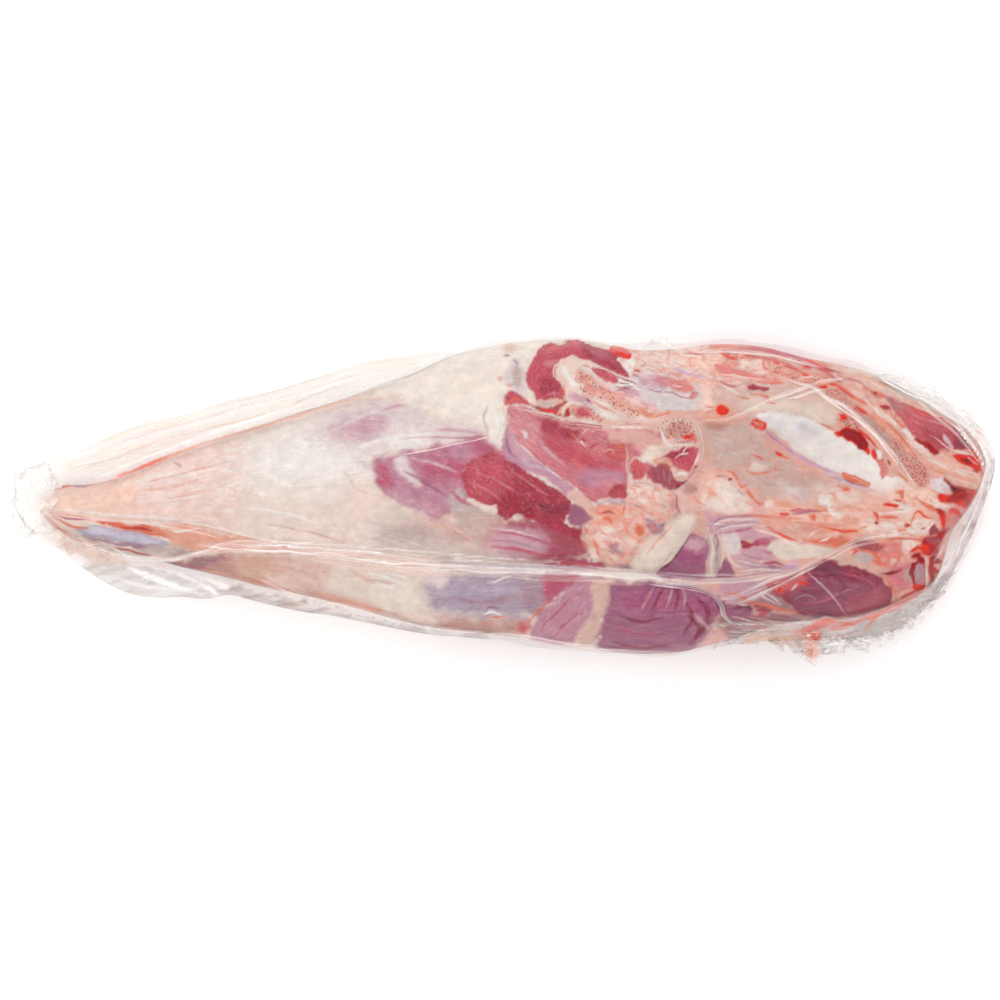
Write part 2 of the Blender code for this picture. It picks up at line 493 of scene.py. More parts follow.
GROUND = """
area beige_membrane 12 0 0  62,84 120,90 190,78 256,48 256,-10 222,-54 150,-90 60,-90 84,-40 88,0 78,40
area salmon_fascia 9 0 0  -236,0 -215,7 -195,10 -178,18 -160,22 -146,12 -152,-4 -175,-8 -205,-8 -230,-6
area pink_fascia 8 0 0  -176,12 -158,21 -142,16 -140,2 -160,-7 -180,-4
area blush_fascia 14 0 0  -150,8 -120,0 -95,4 -70,6 -52,-2 -30,-8 -14,-20 -40,-30 -90,-22 -140,-20 -158,-8
area white_fascia 16 0.8 0  -136,20 -112,33 -92,40 -80,32 -66,22 -70,12 -90,6 -118,6
area grey_fascia 9 0 0  -60,-12 -30,-10 -8,-14 -6,-24 -30,-24 -58,-22
"""
# The short white bone line at x -175 to -168 is a painted highlight.
SHANK = """
area pink_fascia 6 0.3 0  -166,20 -150,26 -138,26 -146,18 -162,13
line rosy_fascia 1.6 2 0.1  -175,5.5 -166,6 -158,7.5
line rosy_fascia 1.6 2 0.1  -166,0 -158,2 -148,5
line mauve_fascia 1.2 1 0.1  -163,18.5 -159,16
line white_fascia 2.4 3 0.2  -188,8 -170,12 -150,14
line mauve_tendon 1.6 1.4 0  -214,7 -206,7
line crimson_muscle 1.2 1 0  -208,6.3 -200,9 -191,10.3
line thin_blood 3 2 0  -198,9.8 -174,18.8 -167,21.8 -152,27
line blood 1.6 1.2 0.3  -188,13.6 -169,21.4
line peach_fascia 1.6 1.4 0  -160,25 -150,28.4 -123,35.6 -98,44 -80,49 -66,51
line orange_fascia 2 2 0  -64,50 -50,52.5 -36,53.5 -22,53
area thin_blood 1.6 0 0  -206,-9.6 -190,-11 -172,-13.2 -166,-15.6 -164,-19.6 -169,-18.8 -174,-17.2
    -190,-14.2
area orange_fascia 4 0 0  -172,-13 -160,-12.6 -142,-15 -128,-19 -122,-22 -136,-25 -150,-25.6 -162,-24
    -166,-19
area blue_tendon 1.2 1.6 -12  -213,-14.4 -206,-13.2 -198,-13.2 -176,-17.6 -171,-19.2 -165.6,-21.6
    -168,-23.6 -174,-23 -184,-22.4 -206,-17.6
area mauve_tendon 1.4 0 -12  -206,-18 -196,-19.8 -186,-21.2 -176,-22 -168,-23.6 -168,-25.4 -178,-24.4
    -190,-23 -200,-20.6
area blue_vein 1.4 0.3 -12  -206,-14 -198,-14 -174,-19 -169,-21.4 -174,-21.6 -194,-18.4 -204,-16.6
area grey_fascia 3 0 0  -176,-23.6 -166,-22.6 -158,-24 -154,-27 -160,-28.6 -172,-27.4 -180,-26
line deep_blood 1.2 1 0  -194,-23.8 -186,-25 -174,-28
line thin_blood 1.4 1.2 0  -230,-5 -222,-13 -212,-20 -200,-24
line crimson_muscle 1 1 0  -226,-6 -216,-9 -206,-9.5
line thin_blood 1.2 1.2 0  -224,-8 -214,-13 -206,-14
area low_salmon 5 -0.3 -8  -166,-31.4 -148,-27.6 -116,-27.4 -104,-30 -112,-36 -126,-40 -142,-38.6 -158,-34.6
area dusk_fascia 2.4 -0.5 -8  -168,-31.4 -160,-30.4 -152,-28.4 -144,-27.4 -138,-28.6 -144,-33 -154,-35
    -163,-33.6
area tan_fascia 6 0 0  -132,-29 -118,-28 -104,-29 -104,-35 -114,-40 -126,-40
line crimson_muscle 1.2 1.4 0  -160,-32 -148,-35 -136,-38.5
area pink_fascia 7 0 0  -78,4 -66,3 -62,-3 -74,-6
area thin_blood 0.8 0.4 0  -222.6,5.8 -221,7.8 -219,8.6 -212,7.4 -219,5.6
line white_fascia 1.4 1.2 0.4  -226,-4 -190,-8 -172,-8.8 -150,-10.6
line orange_fascia 1.2 1 0  -228,-5.6 -216,-7.4 -205,-9
line white_bone 0.8 0.5 0.5  -175,-10.8 -172,-11.6 -168,-12.8
line deep_blood 0.8 0.8 0  -190,-13.6 -180,-14.2 -173,-15.4
line white_bone 0.9 0.7 0.3  -150,-14.4 -160,-15.6 -166,-14.6
line orange_fascia 1.4 1.2 0  -150,-12.6 -136,-16 -122,-20 -104,-23
line white_fascia 0.9 0.8 0.3  -160,-11 -144,-13.4 -128,-17.6 -110,-21.4
line pink_fat 1 0.9 0  -176,9 -136,19
line rosy_fascia 0.8 0.8 0  -182,4 -170,5.6 -158,8 -146,11.6
line white_fascia 0.9 0.8 0.3  -184,6.6 -168,9.4 -150,13.6 -130,19.6
line white_fascia 0.8 0.8 0.3  -172,-1 -156,1.4 -122,11
line rosy_fascia 1 1 0  -163,1 -154,2.6 -142,5
line blush_fascia 0.7 0.7 0.2  -164,4.6 -150,7.4 -134,12
line white_fascia 1.4 1.4 0.3  -128,-4 -110,-6 -90,-12
line peach_fascia 1.2 1.2 0  -116,-12 -96,-16 -76,-21
line orange_fascia 1.4 1.2 0  -150,-35 -136,-38 -112,-44
"""
# The small white fascia patch at x -57 to -36, y 25 to 34, is a painted sheen.
CALF = """
area lilac_fascia 7 0 -16  -96,34 -84,44 -64,49 -44,48 -34,40 -8,37 -4,30 -20,26 -50,24 -70,26 -88,28
area mauve_fascia 8 0.5 -14  -82,36 -66,43 -58,40 -60,35 -68,32
area lilac_fascia 3 0.4 -10  -54,33 -52,39 -46,43.6 -39,46 -36,40 -38,34 -46,31
area white_fascia 5 0.4 0  -57,30 -50,33.5 -40,33 -36,28 -46,25.5 -55,26
line mauve_fascia 2 1.6 0.2  -32,35 -22,35 -8,33
line crimson_muscle 0.9 0.8 -0.2  -50,30.5 -36,31.5 -20,31 -6,32
line lilac_fascia 3 3 0  -74,22 -66,17 -60,14
area purple_muscle 2.6 0.9 -24  -64,20 -56,23 -48,24 -20,29 -6,31 2,26 4,20 -4,13 -16,0 -24,-6 -32,-9
    -42,-5.5 -52,-1 -59,4 -62,12
area crimson_muscle 6 0.3 -24  -40,20 -30,21 -20,18.5 -17,13 -24,10 -36,11
area crimson_muscle 4 0.2 -30  -60,18 -55,17 -53,8 -57,5 -61,9
area mauve_fascia 5 0 -24  -56,4 -46,3 -38,-3 -30,-7.5 -40,-5 -52,0
area crimson_muscle 5 0 -24  -14,29 -4,30 2,25 3,20 -6,20 -13,24
area lilac_fascia 2.4 0.4 0  -53,20.5 -48,22 -44.5,15 -40,9 -43,7 -49,11 -52,15
area grey_fascia 2.4 0.5 0  -26,2 -21,5.5 -15,-1 -9,-5 -8,-10 -17,-11 -24,-8
line violet_muscle 1.6 1.6 0  -48,14 -38,9 -24,0
line pale_silverskin 1.2 1.4 0  -44,21 -32,18 -22,14
line crimson_muscle 1.8 1.6 0  -28,8 -20,0.5 -12,-4
line peach_fascia 1.5 1.5 0  -33,-13 -24,-15 -15,-18.5
area grey_fascia 6 0 0  -18,-7 -8,-9 -3,-14 -12,-19 -22,-14
area low_salmon 5 -0.4 20  -5,-9 4,-10 13,-12 15,-20 6,-24 -4,-22 -9,-16
area brick_lean 3 -0.6 16  3,-10 14,-10 33,-14 42,-14 44,-22 42,-29.5 30,-31 14,-30 5,-27 4,-18
line lilac_fascia 2 2 0.2  -84,34 -70,41.6 -56,45 -42,45
line mauve_fascia 1.6 1.6 0.1  -60,44 -52,47 -46,47.6
line white_fascia 2.4 2.4 0.4  -72,26 -60,30 -46,32 -30,32.4
line rosy_fascia 1 1 0  -76,12 -72,6 -66,3
line rosy_fascia 1 1 0  -40,-9 -32,-12 -24,-14.6
line crimson_muscle 0.9 0.9 0  -24,-15 -19,-17.6 -14,-21
line rosy_fascia 1.2 1.2 0  -30,-10.6 -22,-15 -12,-22
area membrane 3 0.4 0  -16,-8 -10,-9 -6,-14 -10,-17 -17,-13
"""
# The dark crease line at x 18 to 25 is painted shade.
LEAN = """
area deep_lean 0.9 -0.7 -28  -19.5,12 -18,15 -14,20.5 -10,21 -4,23.5 0,19.5 2,20 6,19.5 11,17 15,13.5
    19,11.5 23,8 31,3 34,0 36,-2 35,-7 33,-9.5 31,-11 38,-14 41,-15 40,-20 30,-17 15,-9.5 9,-6.5 4,-9
    2,-9.3 -1.5,-6.5 -2,-2 -5,-2.5 -10,-0.5 -15,1.5 -18,5
area lean 5 0.3 -28  -19,12 -14,20 -6,22 2,19 6,12 0,4 -8,0 -15,3
area dark_lean 4 -0.3 -30  2,2 8,3 14,0 18,-6 14,-9 8,-7 3,-6 0,-2
area maroon_muscle 2.4 -0.2 -30  20,-6 30,-9 36,-8 35,-3 28,-3 22,-3
area violet_muscle 1.6 0.2 -30  36,-3 40,-3 44,-7 47,-10 42,-12 41,-14 34,-10 35,-7
line crevice 0.8 0.8 -0.6  18,-1.6 22,-3.4 25,-2
line pink_lean 0.7 0.7 0.1  -12,14 -2,10 8,4
line pink_lean 0.6 0.7 0.1  -14,8 -6,5 0,0
line pink_lean 0.6 0.7 0.1  4,16 14,9 24,2
area mauve_fascia 5 0 -14  -2,-13 14,-15 24,-20 20,-27 6,-30 -6,-24
line crimson_muscle 1.8 1.3 0  -2,-16 12,-18 26,-23 36,-28
line mauve_tendon 1.2 1 0.1  -6,-20 8,-21.6 20,-25
line lilac_fascia 0.8 0.8 0.2  -6,-14 8,-16 20,-19.6
line lean 1.6 1.3 0  -4,-23.4 10,-25.4 24,-28.6
"""
TOP_FAT = """
area warm_fat 3.4 1.6 0  -70,54 -56,62 -40,70 -25,76 5,84 25,86 36,85 40,79 30,77.5 20,76 16,70 13,62
    14,56 10,50 3,51 3,40 4,30 0,25 -5,30 -9,36 -18,39 -30,41 -42,48 -56,52
area warm_fat 7 0.3 0  -58,57 -44,66 -22,73 -14,64 -18,54 -36,50 -52,53
area lilac_fascia 2.6 -0.6 0  1,60 5,66 10,69 13,62 12,55 8,52 6,55
area grey_fascia 2 -0.3 0  6,62 9,67 11,63 10,57 7,56
line mauve_tendon 1.8 1.6 0  2,71 5,71.4
line mauve_tendon 1.4 1.4 0  7,69 9.4,67
line orange_fascia 2 2 0  -1,60.4 1,59
line orange_fascia 1.6 1.6 0  4,57.4 5.4,55.6
line pink_fat 5 4 0  2,75 8,75.6
line white_fascia 1 0.8 0.6  -31,66.4 -23,69.4 -16,72
line white_fascia 2 2 0.8  -2,44 -1,36 -2,28
line grey_fascia 0.8 1 -0.5  -6,46 -8,40 -6,33
"""
SILVERSKIN = """
area silverskin 1.6 0.3 -36  2,24 1,28 3,36 6,36 8,28 14,23 21,18 27,14.5 33,8.5 37,5 34,2 28,6 20,12
    14,14.5 8,18.5 3,20
area pale_silverskin 1.6 0.3 -36  11,20 13,24.4 19,20.6 23,16.4 18,16.4
line violet_muscle 1.2 1 0  3,32 4,26 8,21
line mauve_tendon 0.8 0.8 -0.3  17,19.5 24,15 37,5.4
line white_fascia 0.8 0.6 0.3  21,16.6 31,10.8 35.4,7.4
area rosy_fascia 1.2 0.7 -50  34,3 38,4.5 43,1.5 46,-2 48,-7 47,-9.5 44,-7.5 40,-3 36,0
"""
ADDUCTOR = """
area rose_lean 1.2 0.3 -34  3,46 8,46.6 13,45.6 30,40.4 60,37 74,36.4 80,35 80,28 72,22 66,20 64.5,12 64,8
    63,1 57,0.5 50,0.5 47,-1 43,2 24,16 10,27 6,33 5,40
area pink_lean 3 0.3 -34  4,45 12,44.6 18,41 20,34 18,28 14,25 8,29 5,36
area deep_lean 3 0.3 -34  20,40.6 27,39.6 32,36.6 40,34 37,31 28,31 21,34
area bright_lean 4 0.3 -34  36,27 44,25 50,21 46,17 36,18 30,22
area lean 4 0.2 -34  22,33 30,31 38,27 34,20 26,22
area lean 3 0.1 -20  40,22 50,20 60,17 60,14.6 50,15 42,17
area mauve_fascia 1.8 0.3 -60  4,34 5.6,35.6 7.6,30 11,25.6 16,21.6 21,17.6 16,18.6 10,22 5,27
line mauve_fascia 2 1.8 0.3  20.4,30 22,26.6 32,17
area lilac_fascia 1.6 0.4 0  11.6,34.6 13,35 14.2,33 13.4,31 12,31.4
line lilac_fascia 1 0.9 0.2  10,28 13,24.6 17,21
area beige_membrane 2.4 0.2 80  54,34.8 66,34.8 76,34.2 80,31 81,27 76,24.4 70,24 66,28 56,30
area blush_fascia 2.2 0.1 0  70,22 73,25.6 79,27.4 81,25 77,21.6 72,20.4
area rose_lean 2 0.4 0  40,33.4 44,34.6 47,33 45,30.6 41,30.6
line blush_fascia 0.6 0.5 0.3  40.4,32.6 43,34.8 47,34.2
area bright_lean 2 0.2 -20  55,27 62,27.4 64,24 62,19.6 56,19.6 53,22
area purple_muscle 4 0.2 -12  38,11 46,14.6 54,14.6 62,12.4 62,9 54,8.6 46,7
area pink_lean 2 0.2 -12  52,9 60,9.4 62,6.6 56,5
area deep_lean 1.6 -0.3 -20  54,3 57,7 61,8.4 63.6,6 63.4,1 57,0.8
line rosy_fascia 1.2 1.2 0.3  62.8,27 63.8,22 63.6,16 64.6,11 64.2,5
line orange_fat 0.6 0.5 0.3  37.6,31 39,29 42,27.6 43,25.4
line white_fascia 0.6 0.4 0.3  39.6,30 41,28.4 42.6,26.2
line orange_fascia 0.6 0.5 0.3  48,29.6 50,30.4 52.4,29 54,29.8
line orange_fascia 0.7 0.5 0.3  50,26.4 52,24.4 55,25.4 57,24 55,22.6
line orange_fascia 0.6 0.5 0.3  54.6,28.4 58,28.6 61,27
line thin_blood 0.8 0.7 0  35,33.6 37,32.4 38,30.6
line thin_blood 0.8 0.7 0  46.6,28.6 49,27.2 50,25.4
line thin_blood 1 0.8 0  57,27 60,26.4 62,26.8
line deep_blood 0.7 0.6 -0.3  39,29.6 41,30 43,29.2
line deep_blood 0.7 0.6 -0.3  45,25.6 47,27.2 49,28.6
area lean 1.6 0 -14  3,51.6 3.8,53.2 6.4,53.2 12,50.6 14,48.4 17,46.6 7,47.6 3.4,47.4
line thin_blood 1 0.8 0  4,48.8 7,50.4 10,50
area brown_muscle 1.2 -0.4 0  17,47 22,46.8 28,47 33.6,50.4 33.4,48 30,44.6 31,42 26,42.6 20,44.4
area blood 1.2 0 0  20.4,46 24,46.2 27,44.6 28,42.8 24,43.2 21,44.4
line orange_fascia 1.6 0.9 0.2  28.6,42.4 30,44.6 32.4,47.6
area deep_blood 1 0 0  30.4,42 34.6,46.4 34.6,41.4 32,41
line thin_blood 0.9 0.7 0  27,47 30.4,48.4 33,50.2
area red_spongy_bone 2 0.2 -20  35,47.6 41,47.4 46,45.6 52,40 44,40 36,41
area lean 2 0 -20  38,45.6 42,46 45,43 42,41.2 38,42
line dark_lean 0.9 0.8 -0.4  13,45.8 24,41.6 30,40.2
line rosy_fascia 0.6 0.5 0.3  4,47.8 12,46.5 24,42.3 31,40.8 50,39.6
line rosy_fascia 0.5 0.5 0.2  6,45.9 13,44.9 26,40.4 34,39.2 44,38.9
line brown_muscle 0.5 0.5 -0.3  30,39.3 52,37.4
line rosy_fascia 0.5 0.5 0.3  31,38.6 55,36.2
line brown_muscle 0.5 0.5 -0.3  32,37.6 40,36.6 47,35.9
line rosy_fascia 0.5 0.5 0.3  31,36.6 52,34.8
"""
FEMUR_HEAD = """
area lean 1 1.3 62  18.5,49 17,52.5 14.5,55 13,61 14,64.5 16.5,71 22,76.2 36,79.4 40,80 47,77 54,75.6
    58,76 62,74 66,72 64.6,70 61,70.6 59,69.6 59.5,67.6 62,65 64,61.8 62,61.4 58,63 50,66.5 45,69.4
    40,70.2 36,71.4 33,70.4 30,69.8 27,65.5 27.2,62.5 30,59 32,52 32.6,50.4 28,49.8 20,49
area bright_lean 2 0.3 10  19,72 23,76 36,79 40,79.4 38,76.6 30,75 24,73
area deep_lean 2.4 0 -30  42,77 47,76.6 58,73 61,70 59,68.6 63,63 58,63.6 50,67 42,72
area crimson_muscle 3 -0.3 -30  47,75 53,74 56,71 52,69.6 46,71.6
area deep_lean 3 0 62  19,57 22,62 27,60 29,56 28,52 22,50.6 19,52.6
area rose_lean 1.6 0.2 20  22,68.6 26,69.6 29,68.6 27,66.4 23,66.4
line rose_lean 1 0.9 0.2  23,51.6 27,53 31,52
line dark_lean 1.2 1 -0.4  54,74.6 58,71 60,67.4 63,63.6
line dark_lean 0.8 0.8 -0.3  40,78.8 46,76.4 52,75.2
area cartilage 1.2 1.2 0  28.5,67.6 34,71 36.6,71.6 38,70.2 42,69.4 46,67.8 47,66.4 44,66.6 41,66 39,64
    38.4,61 39.5,59 41.8,57.4 42,55.4 38,54 36,54.6 34.8,52 34,50.2 33,51 31,57.5 28,62 27.6,65
area white_fascia 1.6 0.4 0  30.6,66 33,65 35,61.6 38,59 41.6,57 41,55.4 35,57.6 31,63.6
area blush_fascia 1.4 0.2 0  35,69.6 39,69 40.4,66.4 38.4,63.6 36.4,65.6
line orange_fat 1 0.9 0.2  40.6,66.6 39,64 38.4,61.4 39.2,59 41.4,57.6
line thin_blood 0.9 0.7 0  31.4,58 32,54 32.9,50.8
line deep_blood 0.5 0.5 -0.3  28.6,66.8 27.4,65 27.6,63.2 28.4,61.6
line white_fascia 0.5 0.4 0.3  28,67.4 26.8,65 26.9,63
area rosy_fascia 1 0.4 0  18.4,48.8 22,49.8 32.4,50.2 26,47 19,47.6
area grey_fascia 1 0.3 0  22,49 28.6,48.8 26,47.4 22.6,47.6
"""
AITCH_BONE = """
area blush_fascia 3 0.6 0  72,80 84,84 98,80 108,72 108,60 96,58 80,58 70,62 68,68
area cream_fascia 4 0.4 0  66,72 72,74 84,73 92,70 90,66 80,64 70,67
area salmon_fascia 3 0.2 0  90,71 98,74 110,72 108,66 96,67
line white_bone 1.4 1 0.4  91,71.6 95,71.4 99,71
area white_fascia 0.8 1.2 0  59,70 62,70.4 65,69.8 66.6,72 68,69 66.6,66 65.6,62.8 64.4,62.4 62,66
line rosy_fascia 1.8 1.2 0.1  69.4,70.6 66.2,63
area lilac_fascia 1.2 0.4 0  40.6,66.4 44,66 50,60 54,58 60,57 64,60 70,63 80,62 92,59.6 100,56 102,50
    102,46 92,44.6 82,44.4 66,50.4 60,53.6 54,55 50,57 43,63.6
area mist_fascia 2 0.3 0  72,51.6 84,52.6 94,51 98,47 90,45.4 80,46
area mist_fascia 3 0.3 0  72,66 84,64.6 92,61.6 84,60.6 74,63
area mauve_fascia 2.4 0 -10  70,60.6 78,61 84,58.6 82,55.6 72,57
area mauve_fascia 1.8 0 -20  60,55.4 68,54 72,51.6 66,51.2 60,53
area mauve_fascia 2 0 -20  70,49.4 75,49 78,46.8 74,46.2
area pale_spongy_bone 1.2 0.7 0  38.8,64 42,64.6 44.5,61.6 48,58.4 53,55.4 58,53.8 66,49 71,46.4 74,44
    68,41.6 60,44.6 48,50.6 43,52.8 38.6,58
area spongy_bone 1.6 0 0  39.4,63.6 42,63.8 44.6,60.6 49,57 51,54.4 46,53.4 42.6,55 40.4,58.4
area red_spongy_bone 1.2 -0.2 0  39.6,63 41,62 42.6,58.8 46,57.8 46.6,60 43.6,63
line white_bone 1.8 0.8 0.4  39,57.6 40.8,57 41.6,55.8
area lean 0.8 0.4 -24  45.8,65.2 52,65.3 58,61.8 59,60.2 57.6,57.8 55,58 51.5,59.6
line blush_fascia 0.9 0.6 0.4  38,70 43,69.3 47,67.7 66,58.4
line low_salmon 0.6 0.5 -0.2  41,67.2 44,66.8 46,65.8
line dark_lean 0.7 0.5 -0.4  59,62 62,60.2 69,57.4
line white_fascia 0.6 0.5 0.3  58,61 64,58 68,56.4
line dark_lean 0.6 0.5 -0.4  58,59 62,58.2 65,57.4
line white_fascia 0.6 0.5 0.3  57.4,57.6 62,56.9 68,56.6
line dark_lean 0.5 0.5 -0.3  57.6,56.6 62,56.1 67,56.3
line dark_lean 0.6 0.5 -0.3  58,54.8 62,55.4 65,55
line mauve_tendon 0.7 0.5 -0.5  69,56.2 90,52.5
line deep_blood 1.2 0.6 -0.4  67,64.8 68.8,64.8 70,63.6
line mauve_tendon 1 0.7 -0.4  66.4,62.6 68.4,61.8 70,61.2
area pink_lean 2.4 0.1 0  77,59.6 84,60 90,58.4 90,55 84,56 78,58
area salmon_lean 1.6 0.5 -10  84,58 93,59.6 96,57.4 96.6,55.4 93,54.2 88,54.6
line white_fascia 0.4 0.4 0.2  86,57 89,56.4 92,57
line deep_lean 0.6 0.6 -0.3  94.6,50.6 95.6,53 97.6,54 99.4,52.4
area salmon_lean 1 0 0  94.6,50.4 96,53 98,53.4 99,51.4 96,50.2
line crimson_muscle 0.8 0.8 0  85,54.8 90,51.6 96,50
area mauve_fascia 2 0.1 -20  35,53.6 38,54 44,50.4 46,47.6 42,47.4 35,51.4
line dark_lean 0.9 0.5 -0.5  43.5,50.6 45.3,49.2
line lilac_fascia 1 0.7 0.3  41.6,49.6 50.6,43
area white_bone 0.7 0.8 0  50.4,43.8 53,43.4 55.4,41.8 56.8,40 55.2,39 51,41.8
line blush_fascia 0.9 0.7 0.3  45.6,51.8 60,44.5 67,41.6
line white_bone 0.8 0.5 0.4  46,51.5 48,50.8
line thin_blood 1 0.7 0  46.8,48.8 57.6,43.1
line rosy_fascia 0.8 0.7 0  58,43.2 62,41.8 68,40
area orange_fat 1.6 0 0  68.4,46.2 71,46 78,42.8 83,43.8 87,43.8 78,41 74,40.2 71,42
area thin_blood 2 -0.5 0  70.4,44.8 75.6,42.6 73,41.8 71.4,42.6
line thin_blood 0.6 0.6 0  74,40.8 78,41.4 82,42.9 85,43.2
area rosy_fascia 1.6 0.2 0  54,39.6 62,39.4 72,39.4 80,37 82,33.6 78,34.8 60,34.8 52,35.6
line crimson_muscle 0.5 0.5 -0.2  61,38.2 70,37.8
line white_fascia 1 0.8 0.2  54,36.6 64,36 74,36.2
line deep_blood 1 1 0  92,73 98,72.6 105,73.4
line vessel 1.2 1 0.2  85,66 94,63 104,60.5 112,57 118,53.5 124,51
line orange_fascia 1 0.9 0.1  84,64 90,61.4 98,60
area pale_spongy_bone 1.2 1 0  79,36 83,40 90,41.4 96,39 99.5,34 100,29 97,27 87,29 83,31.5
area grey_spongy_bone 2 -0.2 0  83,35 88,38.6 93,37.6 96,34 88,29.6 84.6,32
area grey_spongy_bone 1.4 0 0  90,29.6 94,29.8 98,28 95,27.2 91,27.8
line peach_fascia 1.2 1 0.3  93,40.6 97,38 99.6,34 100.8,28
line thin_blood 1.4 1 0  82.6,32 85,30.6
area blood 0.8 0 0  91.6,30.8 95.4,32.6 98,32.2 99.4,29.6 98.6,28.4 97,29.6
line deep_blood 0.6 0.5 0  93,30.9 96,31.1 98.4,30.4
line white_fascia 1.6 0.9 0.5  80,35.4 83,28.6 86,26.6
line white_fascia 0.9 0.6 0.3  84,27 96,27.6 99,26.4
area lean 0.9 0.3 -60  80.4,20.6 84,23 91,26.4 94,26.2 99.4,25.6 99,23 97,19.6 94.6,14.6 92,15 88.6,15.6
    86,17 85.4,18.8
area deep_lean 1.2 0 -60  83,21.8 88,25 91,26 95,25.6 92,22.6 86,20.6
line white_fascia 0.7 0.5 0.3  87.6,21 90,22.7 93,23.1 94,22.8
line white_fascia 0.7 0.5 0.4  91.6,23.2 91.9,24.6 93.4,26
line bright_lean 1.6 1.2 0  87,17.6 91,16.4 94,17
line white_fascia 1.4 0.8 0.3  97,17.8 98.4,20.6 99.5,23.8
line brick_lean 1.4 0.7 -0.3  97,16.4 98.6,17
area orange_fat 1.4 0 0  76,20 80,21.4 84,20 86,17.4 88,15.4 84,16.6 77,18.4
line cream_fascia 0.5 0.4 0.3  78,20 79.4,19 81,20 83,18.6
area rose_lean 1.4 0 -70  71.6,18.8 75.6,18.6 77,15 76,11.4 73,11
area bright_lean 1.4 0.3 -80  65.8,19 68,20.6 71,19.8 72.6,16 71.4,12.4 69,9.8 66.6,9.4 65.8,13
area brick_lean 1.2 -0.3 -70  73,14 76,17 79,18 84,16.6 88.2,10.2 88,7 85.6,5.2 83,5.4 79,8 76,9
area brown_muscle 1.4 0.2 -70  80,16 84,15.6 86,12 87,8.6 84,6.6 81.6,9
line mauve_tendon 0.7 0.6 0.2  81,15.6 82,12 82.4,9
line mauve_tendon 0.7 0.6 0.2  84.6,14.6 85,11 84.6,8
area dark_lean 0.6 -0.3 0  87,5.8 90,7.4 94.8,10.8 91,10 88.4,9.6
line blue_tendon 1.5 0.9 0.1  90,6.2 93,8.4 95.4,11
line mauve_tendon 0.8 0.5 -0.4  93.6,10.6 95.4,12.2 96.8,14.4 97,15.8
line white_fascia 1.5 0.9 0.3  88.6,12.6 91,13.6 93.4,12.8
line orange_fascia 0.9 0.7 0  87.4,14.6 90.6,15 94,14.2
line orange_fat 0.8 0.7 0  86.8,11.6 90,11 93,11
area blood 0.8 0.5 0  54,75.4 56,77.4 59,77 62.6,75 66.4,72.2 64.8,69.8 58,72 56,73.8
line thin_blood 1.2 0.9 0.2  54.6,76 57,76.4 60,75.2
"""
FAT_KNOT = """
area pink_fat 2 1.6 0  65.5,7 72,9.5 79,7 81,4 86,5 89,3 88,-2 90,-7 84,-10 80,-14 74,-19 68,-25 66,-31
    62,-35 55,-33 50,-28 41,-20 42,-14 47,-10 49,-4 54,-1.5 62,-1.5 64,2
area cream_fascia 3 0.4 0  66,5 73,7.6 79,4 80,-2 74,-3 67,0
area membrane 3 0.4 0  82,0 88,-1 89,-6 84,-8 79,-5
area orange_fat 2.6 0 0  48,-4 55,-3 61,-4 61,-9 55,-12 48,-11
area cream_fascia 2 0 0  50,-14 56,-15 55,-20 49,-20 46,-17
line blood 1 0.9 0  62.4,-2.6 61.6,-6.6
line deep_blood 1 0.9 0  50,-7 54,-5.6 58,-7
line thin_blood 0.9 0.8 0  50,-11 54,-9 56,-12
line thin_blood 2 1.4 0  46.6,-20 48.6,-24
line thin_blood 1.6 1.4 0  42,-21 43,-24
line thin_blood 1.4 1.2 0  48,-25 49.4,-28
line thin_blood 1.4 1.2 0  42.6,-14 44,-16.4
line cream_fascia 1.4 1 0.4  52,-13 57,-15 62,-13.6
line cream_fascia 1.2 1 0.4  47,-14 50,-17 48,-21
area mauve_tendon 2 -0.3 0  56,-21 60,-23 62,-26 58,-26 55,-24
area mauve_tendon 2.4 -0.4 0  73,-10 79,-11 84,-13 82,-18 76,-17
line mauve_tendon 2 2 -0.2  58,-31 63,-33 66,-34.6
area thin_blood 2 0 0  67,-13 70,-13 72,-16 69,-17
line orange_fascia 2 2 0  62,-12 64,-17 70,-20
line orange_fascia 1.6 1.6 0  73,3 76,-2 80,-5
line mauve_tendon 0.9 0.9 -0.4  65,-2 70,-4 76,-8
area blue_tendon 1.4 0.2 0  47,-1.6 54,0.6 62,-0.6 62,-2 54,-1.6
area dull_fat 1.8 2.6 0  93,-7 98,-8 97,-14 92,-19 89,-25 80,-34 76,-37 67,-36.5 65,-32 70,-25 81,-17 84,-12
line orange_fascia 1.2 1.4 -0.2  86,-13 80,-19 73,-26
line crimson_muscle 1.1 0.8 0  88.6,2 88.4,-3 90.6,-7
"""
